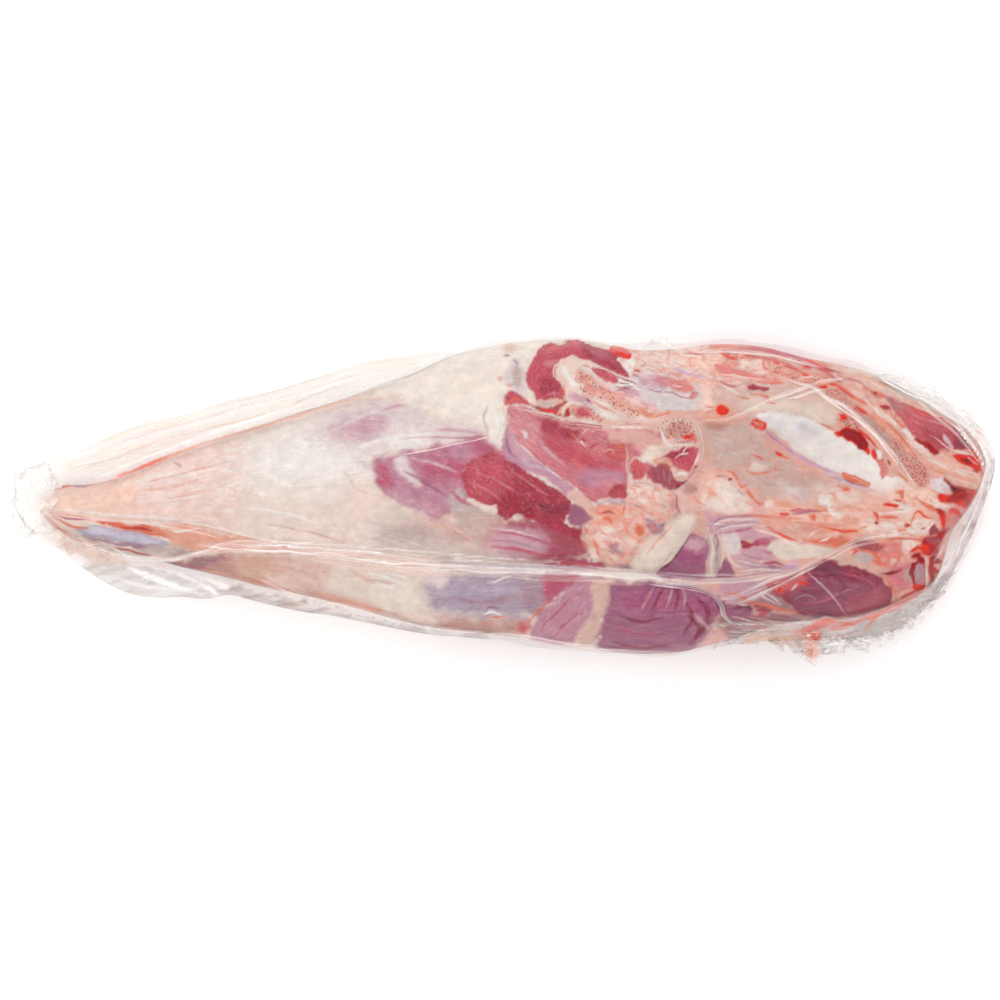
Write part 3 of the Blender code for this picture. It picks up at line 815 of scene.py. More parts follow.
# The dark crease line from x 79 to 96 is painted shade.
GROIN = """
area violet_muscle 1.4 -0.6 -60  96,-17 100,-18 104,-20 105,-25 103,-30 102,-39 80,-39 80,-34.5 86,-30
    90,-24 94,-20
area plum_muscle 3 0.2 -60  90,-27 97,-23 101,-26 100,-32 92,-34
area mauve_fascia 3 0.2 0  92,-21 98,-18.6 103,-21 102,-25 95,-25.4
line crevice 0.9 0.8 -0.6  79,-36 86,-30.4 95.6,-17
area grey_fascia 2.4 0.4 0  104,-18 109,-19 111,-28 108,-38 103,-38 105,-28
line violet_muscle 1 0.9 0  105,-15 109,-20 107.6,-26
area violet_muscle 1.4 -0.2 -60  108,-38.6 112,-30 113.6,-30 117.8,-38.8
area mauve_fascia 3 0.2 0  103,-6 118,-8 140,-8 146,-12 138,-17 120,-18 106,-16
line cream_fascia 1.3 1 0.3  103,-19 106,-13 112,-10.4 122,-9.6 132,-10
line lilac_fascia 1.2 1 0.3  105.4,-21 108,-16 114,-13.6 124,-12.4 134,-13
line violet_muscle 0.9 0.9 -0.2  104,-17 107,-11.6 113,-8.8 124,-7.8 136,-8.6
line mauve_tendon 0.8 0.8 -0.2  106.4,-20 109,-14.8 115,-12.2 126,-11.4 136,-12.4
line crimson_muscle 1.1 0.9 -0.2  110,-16.9 118,-15.6 126,-14.2
area lilac_fascia 2 0.1 0  111,-17.4 120,-17 121,-25 115,-27 112,-22
area mauve_fascia 2.4 0 0  121,-17 130,-15.4 138,-18 136,-22 126,-20 121,-19.6
area crimson_muscle 1.8 0 0  128,-19 138,-20.4 134,-22.6 126,-21.8
area mauve_fascia 2.4 0 0  120,-24 134,-23 138,-29 134,-31 122,-27
line mauve_fascia 0.9 0.8 -0.1  126,-23.6 131,-25.4 137,-27.6
line crimson_muscle 0.9 0.8 0  131,-24.6 134,-26.4 137,-26.6
area deep_lean 1 -0.3 0  120.6,-19.4 124,-20.6 129,-21.8 125,-22.8 122.4,-24.2 120.6,-24
line mauve_tendon 1.2 1 -0.2  121,-26 124,-28.4 133,-30
area mauve_fascia 3 0 -10  118,-28 130,-31 146,-32 150,-35 138,-37 124,-36
line deep_lean 1.6 0.9 -0.3  131,-31.6 137,-31.4 143,-32.6
line plum_muscle 1.2 1 0  124,-31 132,-32.6 140,-33.6
line vessel 1.4 1 0.2  141,-33 146,-32.4 149,-31
line lilac_fascia 1.2 0.9 0.3  119,-30 126,-32 134,-33
line mauve_tendon 0.8 0.8 -0.2  122,-34.6 130,-33.6 142,-34.4
line cream_fascia 1.2 0.9 0.3  120,-35.6 130,-35 142,-36
line plum_muscle 0.8 0.8 -0.2  126,-36.2 134,-35.8 142,-36.4
line orange_fascia 1 0.9 0.2  108,-40 118,-39 126,-38.8
line orange_fascia 0.9 0.9 0.2  118,-40.6 130,-38 138,-37.4
line cream_fascia 1.4 1 0.3  105,-17 106.4,-25 105.4,-34 107,-40
line cream_fascia 0.9 0.8 0.3  109,-18 111.6,-26 110,-35
line cream_fascia 1 0.9 0.2  111.4,-16 112.8,-25 117,-32 124,-34
line mauve_tendon 0.8 0.8 -0.2  107,-20 108.6,-28 107.6,-37
"""
# The bluish patches on the white bone at x 134 to 161 are a painted shadow.
CAVITY = """
area pink_fat 6 0.2 0  104,60 124,62 150,58 168,52 174,44 160,38 140,42 120,46 104,46
area salmon_fascia 3 0 -70  101,60 107,60 107,52 106,44 101,44
area dull_fat 5 0.2 -14  136,48 150,49 164,46 168,38 160,38 150,42 138,44
area dull_fat 4 0 -12  118,48 134,50 150,48 140,44 124,44
line thin_blood 0.8 0.8 0  118,52 123,50.6 125,51
line thin_blood 1 0.9 0  125,52.4 130,52.8 134,51.4 133,50.8
line thin_blood 0.9 0.8 0  133,49 136,48.8 138,48.4
line white_fascia 1 0.9 0.2  107,59 117,54.4 120,52.4
line crimson_muscle 1.2 0.9 0  110,59.4 115,57 118,56.6
line mauve_fascia 0.9 0.8 0  124,60 124.6,55 127,51.6
area deep_lean 1 0 0  124.6,56.6 126,57.4 130,56.8 134,56.4 134,55.4 130,54.8 126,54.8
area grey_membrane 4 -0.6 -30  99,27 101,36 104,40 114,41 124,42 128,38 137,26 146,18 158,11 168,8 174,4
    160,-1 150,-2 137,-1 131,0 124,9 118,14 108,16 101,20
area membrane 4 0 0  112,34 124,34 128,28 120,20 110,20 108,28
area orange_fascia 3 0 0  100,43.4 108,42.6 118,42.6 124,41 118,39.4 104,39.4
area low_salmon 2.4 0 0  104,38.6 112,38.8 114,37 106,35.6
area membrane 4 0.1 0  126,10.4 134,9.6 143,6 142,1 132,1
area mist_fascia 3.4 0.1 0  139,9 147,8 155,2.6 156,-0.4 146,-1 141,2
area cream_fascia 1.6 0.1 0  126,20.6 131,19.4 134,17.6 132,14.8 127,14.6 124.6,16.4
line orange_fascia 1.7 0.8 0.3  124.6,22.6 124,18 122.6,16 124,14 129,13.2 134,14 137.4,15.4 137.6,18.4
    135,20.2 132,20.8
line thin_blood 0.6 0.6 0.2  124.6,14 129,13 134,14 137.4,15.8 137.4,18
line blood 1 0.7 0  125.6,22.9 129,21.9 132,20.7
area thin_blood 1.2 0.3 0  137,23.4 138.6,24.2 144,20.6 138.4,21.8
area blood 0.8 0.2 0  137.4,24 139,24 140.4,22.8 138.6,22 137.4,22.8
line orange_fascia 1.6 1.3 0  131,31 135,27 137.4,24.6
line orange_fascia 1.2 1 0  149,18.6 151.6,16 151.4,13.6 150,13.6
line orange_fascia 1.2 1.2 0  102.4,30 104,24 103.6,12
line cream_fascia 0.8 0.8 0.3  92,42 97,39 100,34 101.6,28 101.4,22
area rosy_fascia 1.8 0.8 0  95,-5 97,3 101,10 106,14 113,15 118,13 123,2 125,-4 120,-8 108,-8 100,-6
area fat 3 0.4 0  104,6 108,9 114,9 122,2 124,-3 120,-7 110,-7 102,-4 100,1
area orange_fascia 2.4 0 0  104,6 108,6 108,2 104,0.6
area low_salmon 2 0 0  92,7.6 97,8 99,5 96,2.4 92.6,3.4
line orange_fascia 1.4 0.8 0  108,15 113,14.8
line thin_blood 1.5 0.8 0.3  113,14.6 116.4,13.6 119.2,9.2
line thin_blood 1.2 0.8 0  119.4,8.4 121,6.6 124,7.4
line thin_blood 1.8 0.9 0.2  123.6,5.2 124.6,3.4 129,-1.6
area blood 1 0 0  128.6,-1 131,-1.4 133,-1 132.6,-3 129.6,-3
line mauve_fascia 1.6 1 0  126,-2.6 129,-4.4 132,-6
line mauve_fascia 1 0.8 0  118.4,5 120,3.6 122,1.4
line crimson_muscle 0.9 0.8 0  107.6,11 110,11.6 112.4,11.8
area deep_lean 0.6 0 0  114.4,11.3 115.7,11.3 115.7,10.1 114.4,10.1
line thin_blood 0.9 0.9 0  96,2.4 98.6,-0.6 102.6,-2.8
line lilac_fascia 1.2 1 0  98,-5 101,-4.8 104,-5.4
area white_bone 1.2 1 -20  129,42 133,44 138,44.8 152,41.6 163,36 168,34 172,31.6 181,27 184.6,24 189,22
    194,13 200,11 204,6 196,1 188,1.6 180,6.4 170,12.6 150,23 134,36
area blue_bone 4 0 0  146,38.6 154,38.6 161,34.6 156,32.4 149,34
area mist_fascia 3 0 0  149,37 154,37 158,34.8 153,34.4
area blue_bone 5 0 0  134,41 142,41 140,36 134,38
line vessel 1.5 0.7 0.4  131,37.6 136,31.8 147,23.4 158,17.4 168,13.4
line violet_muscle 0.5 0.5 0  133,34.6 136,31.6 146,23.8
line blue_vein 2 1 0.2  163,14 167,12.4 171,10 182,5.4 188,4
line mauve_tendon 0.6 0.6 0  163.6,11.2 168,10.9 171,10
area thin_blood 1 0.9 0.3  170.4,12.4 172,13.6 176,12.6 181,10.2 185.4,7.8 185.8,6.6 184,6 178,7.6 172,10.4
line brown_muscle 0.8 0.6 0  170.8,11.2 174,9.3 179,7.3 184.4,6
line pink_membrane 0.5 0.5 0  173,12.2 178,10.2 183,8
area blood 1.2 0 0  125,37 131.6,35 132.8,38.6 128.4,40 126,38.6 128,38.8 131,37.6 130,36 126.6,38
area thin_blood 1 0.4 0  128.6,38 130.4,38.4 131,36.6 129.4,35.8
area red_spongy_bone 1.2 0.4 0  169,43 173,43 178,40 181,35 179,33.4 174,35 170,35.4 168,38
area blood 0.9 0.2 0  170,42.6 173,42.8 173,41 171,40 170,41
line thin_blood 1 0.8 0  160,38.4 164,36.4 167,34.4
area blood 1 0 0  166.6,33.6 170,35 173,36.6 178,35 182,33 185,26 184.4,23 183,23.6 180,27 175,28.8 171,31.4
area clot 1.4 -0.5 0  169.6,33.8 173,35.4 178,34.6 182,31.4 184,27 182,26.4 179,29 174,30.4
line blood 1 0.8 0.2  178.4,37 180.4,34 184,31 188.4,26.4
area thin_blood 1 0.4 0  187.6,21 189.4,20 191.4,20 191,17 193.6,14.6 192.6,12.2 190.6,13
area white_bone 0.8 0.3 0  188,24.8 190.8,24.4 191,21.8 189.2,20.6
area pink_membrane 1.4 0.4 -40  183,33.6 188,28 192,25 197,17.6 202,11 204,7.6 205.4,10 200,18 189,31 184,36
line orange_fascia 0.8 0.8 0  189,28.6 199,14 203,9
line thin_blood 0.8 0.7 0  102,47.4 105.6,46.4 108,46.4
line thin_blood 0.8 0.7 0  103,43.6 105.6,44.4 108,44
area orange_fascia 1.4 0 0  107,46.4 110,48.6 114.4,48 115.8,45 113.6,42 108,42
area blood 0.5 0.6 0  108.3,45 109.2,47 111,47.8 113,47.2 114.6,45.6 114.2,43.8 112.6,42.7 110.4,42.7
    108.9,43.6
"""
# The white fascia line and white bone patch at x 188 to 208, y -1 to -7, are painted highlights; the dark
# crease lines are painted shade.
RUMP = """
area pink_membrane 8 0 0  134,0 160,0 180,4 200,5 216,6 218,-4 214,-16 196,-18 160,-18 132,-14
area cream_fascia 4 0.2 -4  182,-11 194,-10 206,-10 215,-12 212,-18 196,-18.6 184,-17
area salmon_fascia 4 0 0  196,5 206,7 216,5 218,-2 208,-2 198,0
area cream_fascia 4 0 0  158,7 170,6 180,4 178,-1 168,-1 160,2
area white_bone 1.4 0.4 -10  160,2.6 163,3.6 166,2.6 165,-1 168,-5 180,-8 172,-9 166,-7.6 163,-4 160,-1
area orange_fascia 1.4 0 0  136.6,-1.8 142,-1 145.4,-1.6 145,-3.4 138,-3.6
area cream_fascia 0.9 0.6 0  133,-0.6 135.4,-1 135.8,-3.6 133.6,-4
line orange_fascia 1.5 0.9 0  163,3.8 166,3.2 167.6,1 167.4,-1.6
line orange_fascia 1.2 1 0  169,-3.6 174,-3.4 180,-4.6 183,-6.6
area orange_fascia 1.2 0 0  157.6,-2.4 163,-3 163.4,-5 158,-5
line thin_blood 0.6 0.5 0  161,-2.4 163.2,-3.2 162.4,-4.8 160,-4.6
area thin_blood 1.2 0 0  155.8,-8 158,-8 158,-10.4 156,-10.4
area orange_fascia 1.2 0 0  160.6,-6.4 165,-7 165,-9.2 161,-9.6
area thin_blood 1.4 0 0  168,6.4 171,6.8 175.4,6 175.4,4 171,4.6
line blood 1.8 0.9 0.3  139.6,-7 142,-7.2 144.6,-7
line blood 1.4 1 0.2  145,-5.2 149,-4.7 152,-5
line crimson_muscle 1.8 1 0.1  147,-5.4 154,-5.6 160.6,-5.8
line violet_muscle 1.1 0.9 0  145.6,-6.8 158,-6.2
line thin_blood 1 0.9 0  124,-7.6 130,-7.6 136,-8.6 150,-9.2
line thin_blood 0.8 0.9 0  134,-9.8 140,-9.8 146,-10.4
area orange_fascia 2 0 0  131,-9 136,-10 140,-12 138,-14 133,-13
area orange_fascia 2 0.4 -6  138,-10.6 146,-10.4 168,-13 178,-14 181,-16 172,-17.6 160,-17 150,-17.4 142,-16
area peach_fascia 2.4 0.1 -6  142,-13.4 150,-12.6 160,-14 160,-16.6 150,-17 143,-15.6
line thin_blood 1.7 1 0.2  133.6,-13 138,-16.2 149,-20.8
line blood 1 0.8 0  138,-16.8 142,-18.2 147,-20.4
line thin_blood 1.8 1 0.2  158,-13 170,-15.2 179,-15.4
line blood 1 0.8 0  165,-14.6 172,-15.8 179,-15.2
line salmon_lean 0.9 0.8 0  146,-10.8 166,-12.6 174,-12.4
line salmon_lean 0.9 0.8 0  150,-13 156,-14 164,-16.4
area thin_blood 2.4 0 -14  152,-20 168,-18.4 174,-18.6 176,-21 170,-23 160,-22.6
line white_fascia 0.9 0.8 0.3  155,-18.2 157,-16.6 159,-15.4
line white_fascia 0.9 0.8 0.3  160,-20.8 163,-19.6 165,-18.6
line low_salmon 0.8 0.8 0  168,-18.4 172,-21
area dull_fat 1.4 0.7 0  134,-23.6 140,-20.4 150,-21.8 162,-23.8 168,-25.4 164,-27 160,-29 156,-28
    151,-29.5 141,-30 136,-26
line blood 1.3 1 0.1  186.4,-5.4 188.4,-8.4 189,-10.6
area orange_fascia 2 0 0  172,-8 177,-8.4 179,-11.6 174,-12.4 171,-10
line thin_blood 1 1 0  180.6,-14.2 184,-13
line thin_blood 1 1 0  197,-0.2 200,-0.4 203,-1.4
line thin_blood 0.9 0.9 0  197,4.8 201.6,4.6 200,3 201.6,0.6
line thin_blood 1.5 0.9 0  190,-8.8 199,-8.6
line white_fascia 0.9 0.8 0.3  188,-6.8 196,-6.6 206,-5.6
area white_bone 1.4 0.5 -12  197,-0.6 202,-2 208,-4.4 205,-5.6 200,-3.6
line white_fascia 1.6 1 0.3  204,-12 209,-10.6 216,-10
line white_fascia 1.4 1 0.2  206,-16 212,-14.6
line thin_blood 1.1 0.9 0  205.6,-12 207,-8 208.4,-5.2
line thin_blood 1.2 0.9 0  208.4,-5 212,-8 216,-9
area thin_blood 1 0 0  203,-12 205.6,-12.4 204.6,-13.8 202.8,-13.6
area orange_fascia 1.6 0 0  200,-14 204,-15 203,-17 199,-16.4
line orange_fascia 1.6 1.2 0  208,0.6 214,-2.6 218,-5
line thin_blood 1.2 1 0  211,-1 216,-3.6 219,-5.6
area thin_blood 2 0 0  222,-8 230,-7 233,-9 228,-12 222,-14 220,-13
area blood 1.6 0 0  226,-4.6 230,-5 232,-8 229,-8.4
area blood 1.4 0.2 0  220.4,-8 223.4,-8 224,-12 222,-13.6 220.6,-12
area deep_lean 1 0 0  218,-5 221,-4.8 223,-6.6 221,-8
area deep_lean 1.6 0 0  214,-14.6 217,-12 219,-14.6 224,-14 222,-17 217,-17
area thin_blood 2.4 0 0  205,-19 215,-18 216,-27 208,-28 203,-24
area deep_blood 1.8 0 0  216,-18 222,-17 221,-20 217,-20
area deep_lean 2 -0.3 60  216,-20 221,-20 219,-26 215,-30 217,-24
area blood 2 0 0  211,-21 215,-20 219,-22 216,-27 212,-26.6
area salmon_lean 3 0 0  188,-21 200,-20 203,-26 199,-32 190,-34 184,-28
area brown_muscle 2.4 -0.4 0  176,-20.4 186,-20 192,-23 189,-26 181,-25
area tan_fascia 2 0 0  165,-27 172,-27 178,-30 176,-33 168,-31.6
area grey_fascia 1.4 0.2 0  176.6,-27 182,-26 186,-28 185,-31 180,-31.6
line blood 1.2 0.9 0.1  175.6,-24.6 178,-25.4 176,-27.6
line thin_blood 1.4 1 0.1  179,-25 185,-26 189,-29.6 190.4,-32
line thin_blood 2.6 1 0.1  188,-20.6 206,-18.8 210,-20.4
area cream_fascia 1.6 0.2 0  201,-20.4 208,-20.6 210,-22 204,-26 201.4,-25
area cream_fascia 2 0.2 0  196,-30 200,-31 202,-36 197,-37
line thin_blood 1.2 1 0  200.6,-26 199.4,-30 196,-33.6
line thin_blood 1.2 1 0  186,-30 190,-32 195,-33
line blood 1.6 1 0  205,-25.4 208,-24 212,-24.6
area rose_lean 2.4 0.2 0  196,-33 206,-31 206,-43 200,-47 196,-42 192,-38
area dun_fascia 1.4 0.2 0  203.4,-34 206.4,-34 206.4,-40 203,-42 201.6,-38
area deep_lean 1.6 -0.3 0  206,-26.6 210,-26.6 212.6,-31 211,-33 208,-29
area clot 0.9 -0.6 0  205.6,-32 208,-30.6 212.8,-30 213,-43 206,-43.4
area mauve_tendon 0.7 0.7 80  208,-33 211.6,-31.8 212,-42.4 207.4,-42.4
area deep_blood 1 0 80  214.8,-29 220.4,-29.6 219.6,-32 217,-33 220,-36 219,-38 217.6,-39 216.6,-44
    214.8,-40
line crevice 1.6 1 0  217.4,-29.8 219.8,-30
line cream_fascia 1.1 0.7 0.4  212.8,-31 213.3,-38 213,-45
area blood 1.2 0 0  205,-43 211,-42.8 213,-45.6 209,-46.6 205.4,-45
line blood 2.6 1.3 0.1  200,-50 205,-47.6 215,-44.6
line thin_blood 2.4 1.4 0  188,-56 196,-52.6 202,-50
line clot 2 1 -0.2  190.6,-36.8 195,-36.6 201,-34.4
line crevice 1.3 0.8 -0.4  192.6,-37 196.4,-36.6
area maroon_muscle 1.2 0.8 -20  133,-43 139,-41 145,-38 152,-35.6 163,-30.8 168,-30.6 171,-32.6 177,-33
    189,-38 193,-41 195.6,-45 195.6,-50 192,-54 186,-57 176,-59.6 166,-60 158,-58.6 150,-55.6 142,-50
area brick_lean 5 0 -10  164,-46 180,-42 192,-44 193,-52 182,-57 166,-58
area wine_muscle 5 0 -20  146,-44 158,-41 170,-38 184,-42 178,-47 168,-56 156,-56 148,-51
area dark_plum 3 -0.3 -10  157,-33.4 168,-31.4 172,-35 166,-38 158,-36.6
area bright_lean 3 0 -20  133,-43 142,-39.6 151,-36.6 153,-40 147,-45 138,-46
line blood 1.4 1 0  149,-41 155,-41.8
area blood 0.9 0 0  138.8,-42.8 141.2,-43.2 140.6,-45.8 139,-45.2
line lilac_fascia 1.2 0.7 0.2  145.6,-44.8 148.4,-41.8
line mauve_tendon 0.6 0.6 0  147,-49 153,-47 158,-49
line crimson_muscle 0.9 0.9 0.1  152,-51 162,-50 172,-45 184,-41
line crimson_muscle 0.9 0.9 0.1  170,-36 178,-38 186,-42 188,-50
line dark_plum 1 1 -0.2  166,-38 172,-42 170,-47 176,-52
line dark_plum 0.9 0.9 -0.2  146,-52 156,-55 166,-57.6
line pale_silverskin 0.6 0.6 0.2  154,-36.4 160,-41 166,-47.4 173.6,-58
line thin_blood 1.1 0.9 0.2  158,-59.8 170,-58.6 190,-54.4 196,-52
line deep_blood 1.2 1 0  170,-59.6 180,-57.6 190,-54.8
line thin_blood 1.2 1 0.1  188,-36 192,-38.6 196,-43 198,-48 198,-52
area mauve_fascia 3 0 -30  110,-41 120,-39 131,-41 130,-46 122,-51 113,-52
area dusk_fascia 3 0 -20  111,-59 122,-57 146,-62 152,-67 140,-71 116,-71
area violet_muscle 2.4 0 -20  112,-54 120,-55 130,-58 128,-62 118,-61
line thin_blood 1.2 1 0  118,-60 130,-63.4 144,-67.6
line plum_muscle 1.4 1 -0.2  112,-56 122,-60 134,-64
line orange_fascia 1.2 1 0  124,-58 138,-61.6 152,-66.4
line mauve_tendon 1 0.9 0  114,-63 126,-66 138,-68.6
line cream_fascia 0.9 0.8 0.2  116,-58 128,-61 140,-65
line thin_blood 1 0.9 0  112,-46 120,-48 128,-52
"""
# On the two wrinkles at x -8 to 6 the white fascia lines are painted highlights and the violet line between
# them painted shade. On the folds of the flank muscle at x 56 to 108 the raised mauve lines on the ridges
# are painted highlights, and the sunk maroon and crimson lines in the hollows painted shade.
FLANK = """
line thin_blood 1.6 1.2 0  -128,-38.6 -116,-42 -92,-50 -56,-60.6 -42,-63.4 -28,-65 -10,-65.6
area peach_fascia 5 0 0  -98,-43 -88,-46 -76,-48 -62,-52 -64,-57 -80,-54 -96,-49
area pink_fat 5 0 0  -110,-30 -92,-30 -84,-36 -92,-42 -106,-38
area dull_fat 4 1 0  -84,-40 -75,-33 -65,-31 -55,-34 -47,-39 -37,-41.5 -31,-48 -36,-56 -50,-58 -62,-54
    -72,-47 -82,-45
area fat 4 0.4 0  -62,-42 -50,-41 -40,-46 -42,-53 -54,-53 -62,-48
line peach_fascia 1.6 1.6 -0.2  -76,-34 -64,-40 -52,-41
area blue_muscle 5 0.3 4  -36,-41 -20,-36 0,-36 18,-38 26,-42 24,-52 16,-59 0,-59 -20,-58 -32,-54 -37,-48
area mauve_tendon 4 -0.3 30  12,-42 20,-40 26,-43 23,-51 14,-57 10,-50
area low_salmon 5 0 0  -30,-60 -8,-60 8,-61 14,-63 6,-68 -12,-68 -28,-66
line mauve_tendon 3 3 -0.2  -20,-50 -8,-51 6,-49 18,-50
line white_fascia 1.1 0.8 0.6  -6,-41 -2,-40.6 2,-38.8 6,-38.2
line blue_tendon 1 0.8 -0.3  -7,-38.6 -3,-38 0,-37.4
line violet_muscle 0.9 0.6 -0.6  -7,-54.6 -4,-53.6 1,-54.2
line white_fascia 1.5 0.8 0.6  -8,-57 -4,-55.6 1,-57.2
line thin_blood 1.2 0.8 0  -5,-58.2 -1,-58.8 3,-58
line mauve_tendon 0.9 0.8 -0.3  -29,-52 -24,-49 -16,-50 -14,-54 -20,-57
line white_fascia 1.2 1 0.5  -67,-36 -60,-37.4 -52,-40 -47,-43
line white_fascia 1 1 0.5  -64,-40 -56,-42.6 -48,-46
line white_fascia 1 1 0.5  -58,-36 -50,-37.6 -44,-40.6
line orange_fascia 3 2.6 0  -92,-47 -78,-51 -52,-57
area lilac_fascia 3 0.3 0  -36,-39 -30,-36 -26,-39 -31,-43
area bright_lean 3 0 0  9,-62 14,-61.6 16,-65 11,-67
area crimson_muscle 2 0.2 20  23,-37 34,-36.6 41,-37.6 36,-44 28,-49 24.6,-52 22,-46
area crimson_muscle 2.4 -0.5 4  24,-30 38,-29.6 52,-31 52,-35 38,-36 24,-36.6
line bright_lean 1.2 1 0  27,-33 36,-32 48,-33
area purple_muscle 2.4 0.7 40  14,-66 25.5,-51 34,-44 40,-39.6 46,-38.6 52,-39.6 48,-53 38,-70 26,-74
area purple_muscle 4 0.1 40  30,-56 38,-52 42,-58 38,-66 30,-68 26,-62
line thin_blood 1.2 1.1 0  14,-61 19,-56 24.6,-50
line crimson_muscle 1.4 1.4 -0.2  20,-64 28,-56 36,-48
line crimson_muscle 1.2 1.3 -0.2  27,-68 33,-61 42,-54
area peach_fascia 2 0.6 -70  47,-40.4 56,-41.4 53,-53 50,-60 50,-69 44,-72 38,-69 44,-58 46,-50
area violet_muscle 2.4 1.4 0  56,-41.6 70,-41 93,-41.6 104,-46 110,-52 108,-60 100,-72 86,-79 66,-80
    50,-76 50,-66 53,-54
area plum_muscle 4 0.3 0  62,-46 78,-44 90,-47 88,-56 74,-58 62,-54
area plum_muscle 4 0.3 0  90,-44 100,-46 110,-52 106,-58 96,-56 88,-50
line maroon_muscle 2.6 2 -1.2  99,-49 104,-56 101,-64 95,-71
line maroon_muscle 1.8 1.6 -0.9  93,-51 96,-58 92,-66
line maroon_muscle 1.4 1.4 -0.9  60,-57 70,-60 82,-58
line mauve_fascia 1.5 1.3 1.3  77,-43.4 74,-48 70.6,-54
line mauve_fascia 1.3 1.2 1.3  86,-43.6 85,-48 83,-53
line mauve_fascia 1.2 1.2 1.2  91,-44 92.6,-48 92,-53
line maroon_muscle 1.6 1.4 -0.9  81.6,-43.6 79.6,-48 76.6,-54
line maroon_muscle 1.4 1.3 -0.9  88.6,-43.8 89,-48.6 87.4,-54
line mauve_fascia 1.8 1.4 1  97,-55.6 101,-60 107.6,-67
line maroon_muscle 2 1.6 -1.2  94,-57 99.6,-64 97,-70
line crimson_muscle 1.4 1.4 -0.7  75,-45 72,-50 64,-53
line crimson_muscle 1.2 1.2 -0.6  82,-46 82,-52 77,-56
line crimson_muscle 1.2 1.2 -0.6  58,-62 68,-66 80,-66
line maroon_muscle 1.4 1.4 -0.7  56,-70 68,-73 84,-72
area dusk_fascia 2 0 0  116,-45 124,-43.4 132,-44 142,-48 152,-52 152,-57 140,-56 128,-52.6 116,-50.6
line lilac_fascia 2.6 1 0.3  128,-44.8 134,-48.6 140.6,-52.6
line dark_plum 0.8 0.7 -0.3  130.6,-46 136,-49.8 141,-53
area dusk_fascia 2 -0.2 0  140,-45 148,-48 151,-52 144,-52
area dark_plum 2 -0.4 0  109,-51 120,-51 126,-54 124,-57 112,-57
area wine_muscle 2.4 0.2 0  112,-56.4 120,-56.6 127,-59 126,-63 118,-62 112,-61
area brown_muscle 2 -0.4 0  127,-53 134,-54 136,-57 130,-56.6
area dusk_fascia 2.6 0 0  133,-57.6 142,-56.6 150,-60 140,-63 129,-63
area peach_fascia 2.4 0 0  126,-63 140,-62 152,-61 150,-66 128,-68
area lean 1.2 0.2 0  125,-58.6 129,-57.2 134.4,-55.8 132,-58.8 128,-61.6
line deep_lean 1.2 0.9 0  139.6,-57.4 144.8,-58.8
line cream_fascia 0.9 0.8 0.2  116,-51.2 124,-52.6
line thin_blood 1.5 1 0.4  112,-49.8 128,-51.4 142,-55.2 150,-56.8
"""
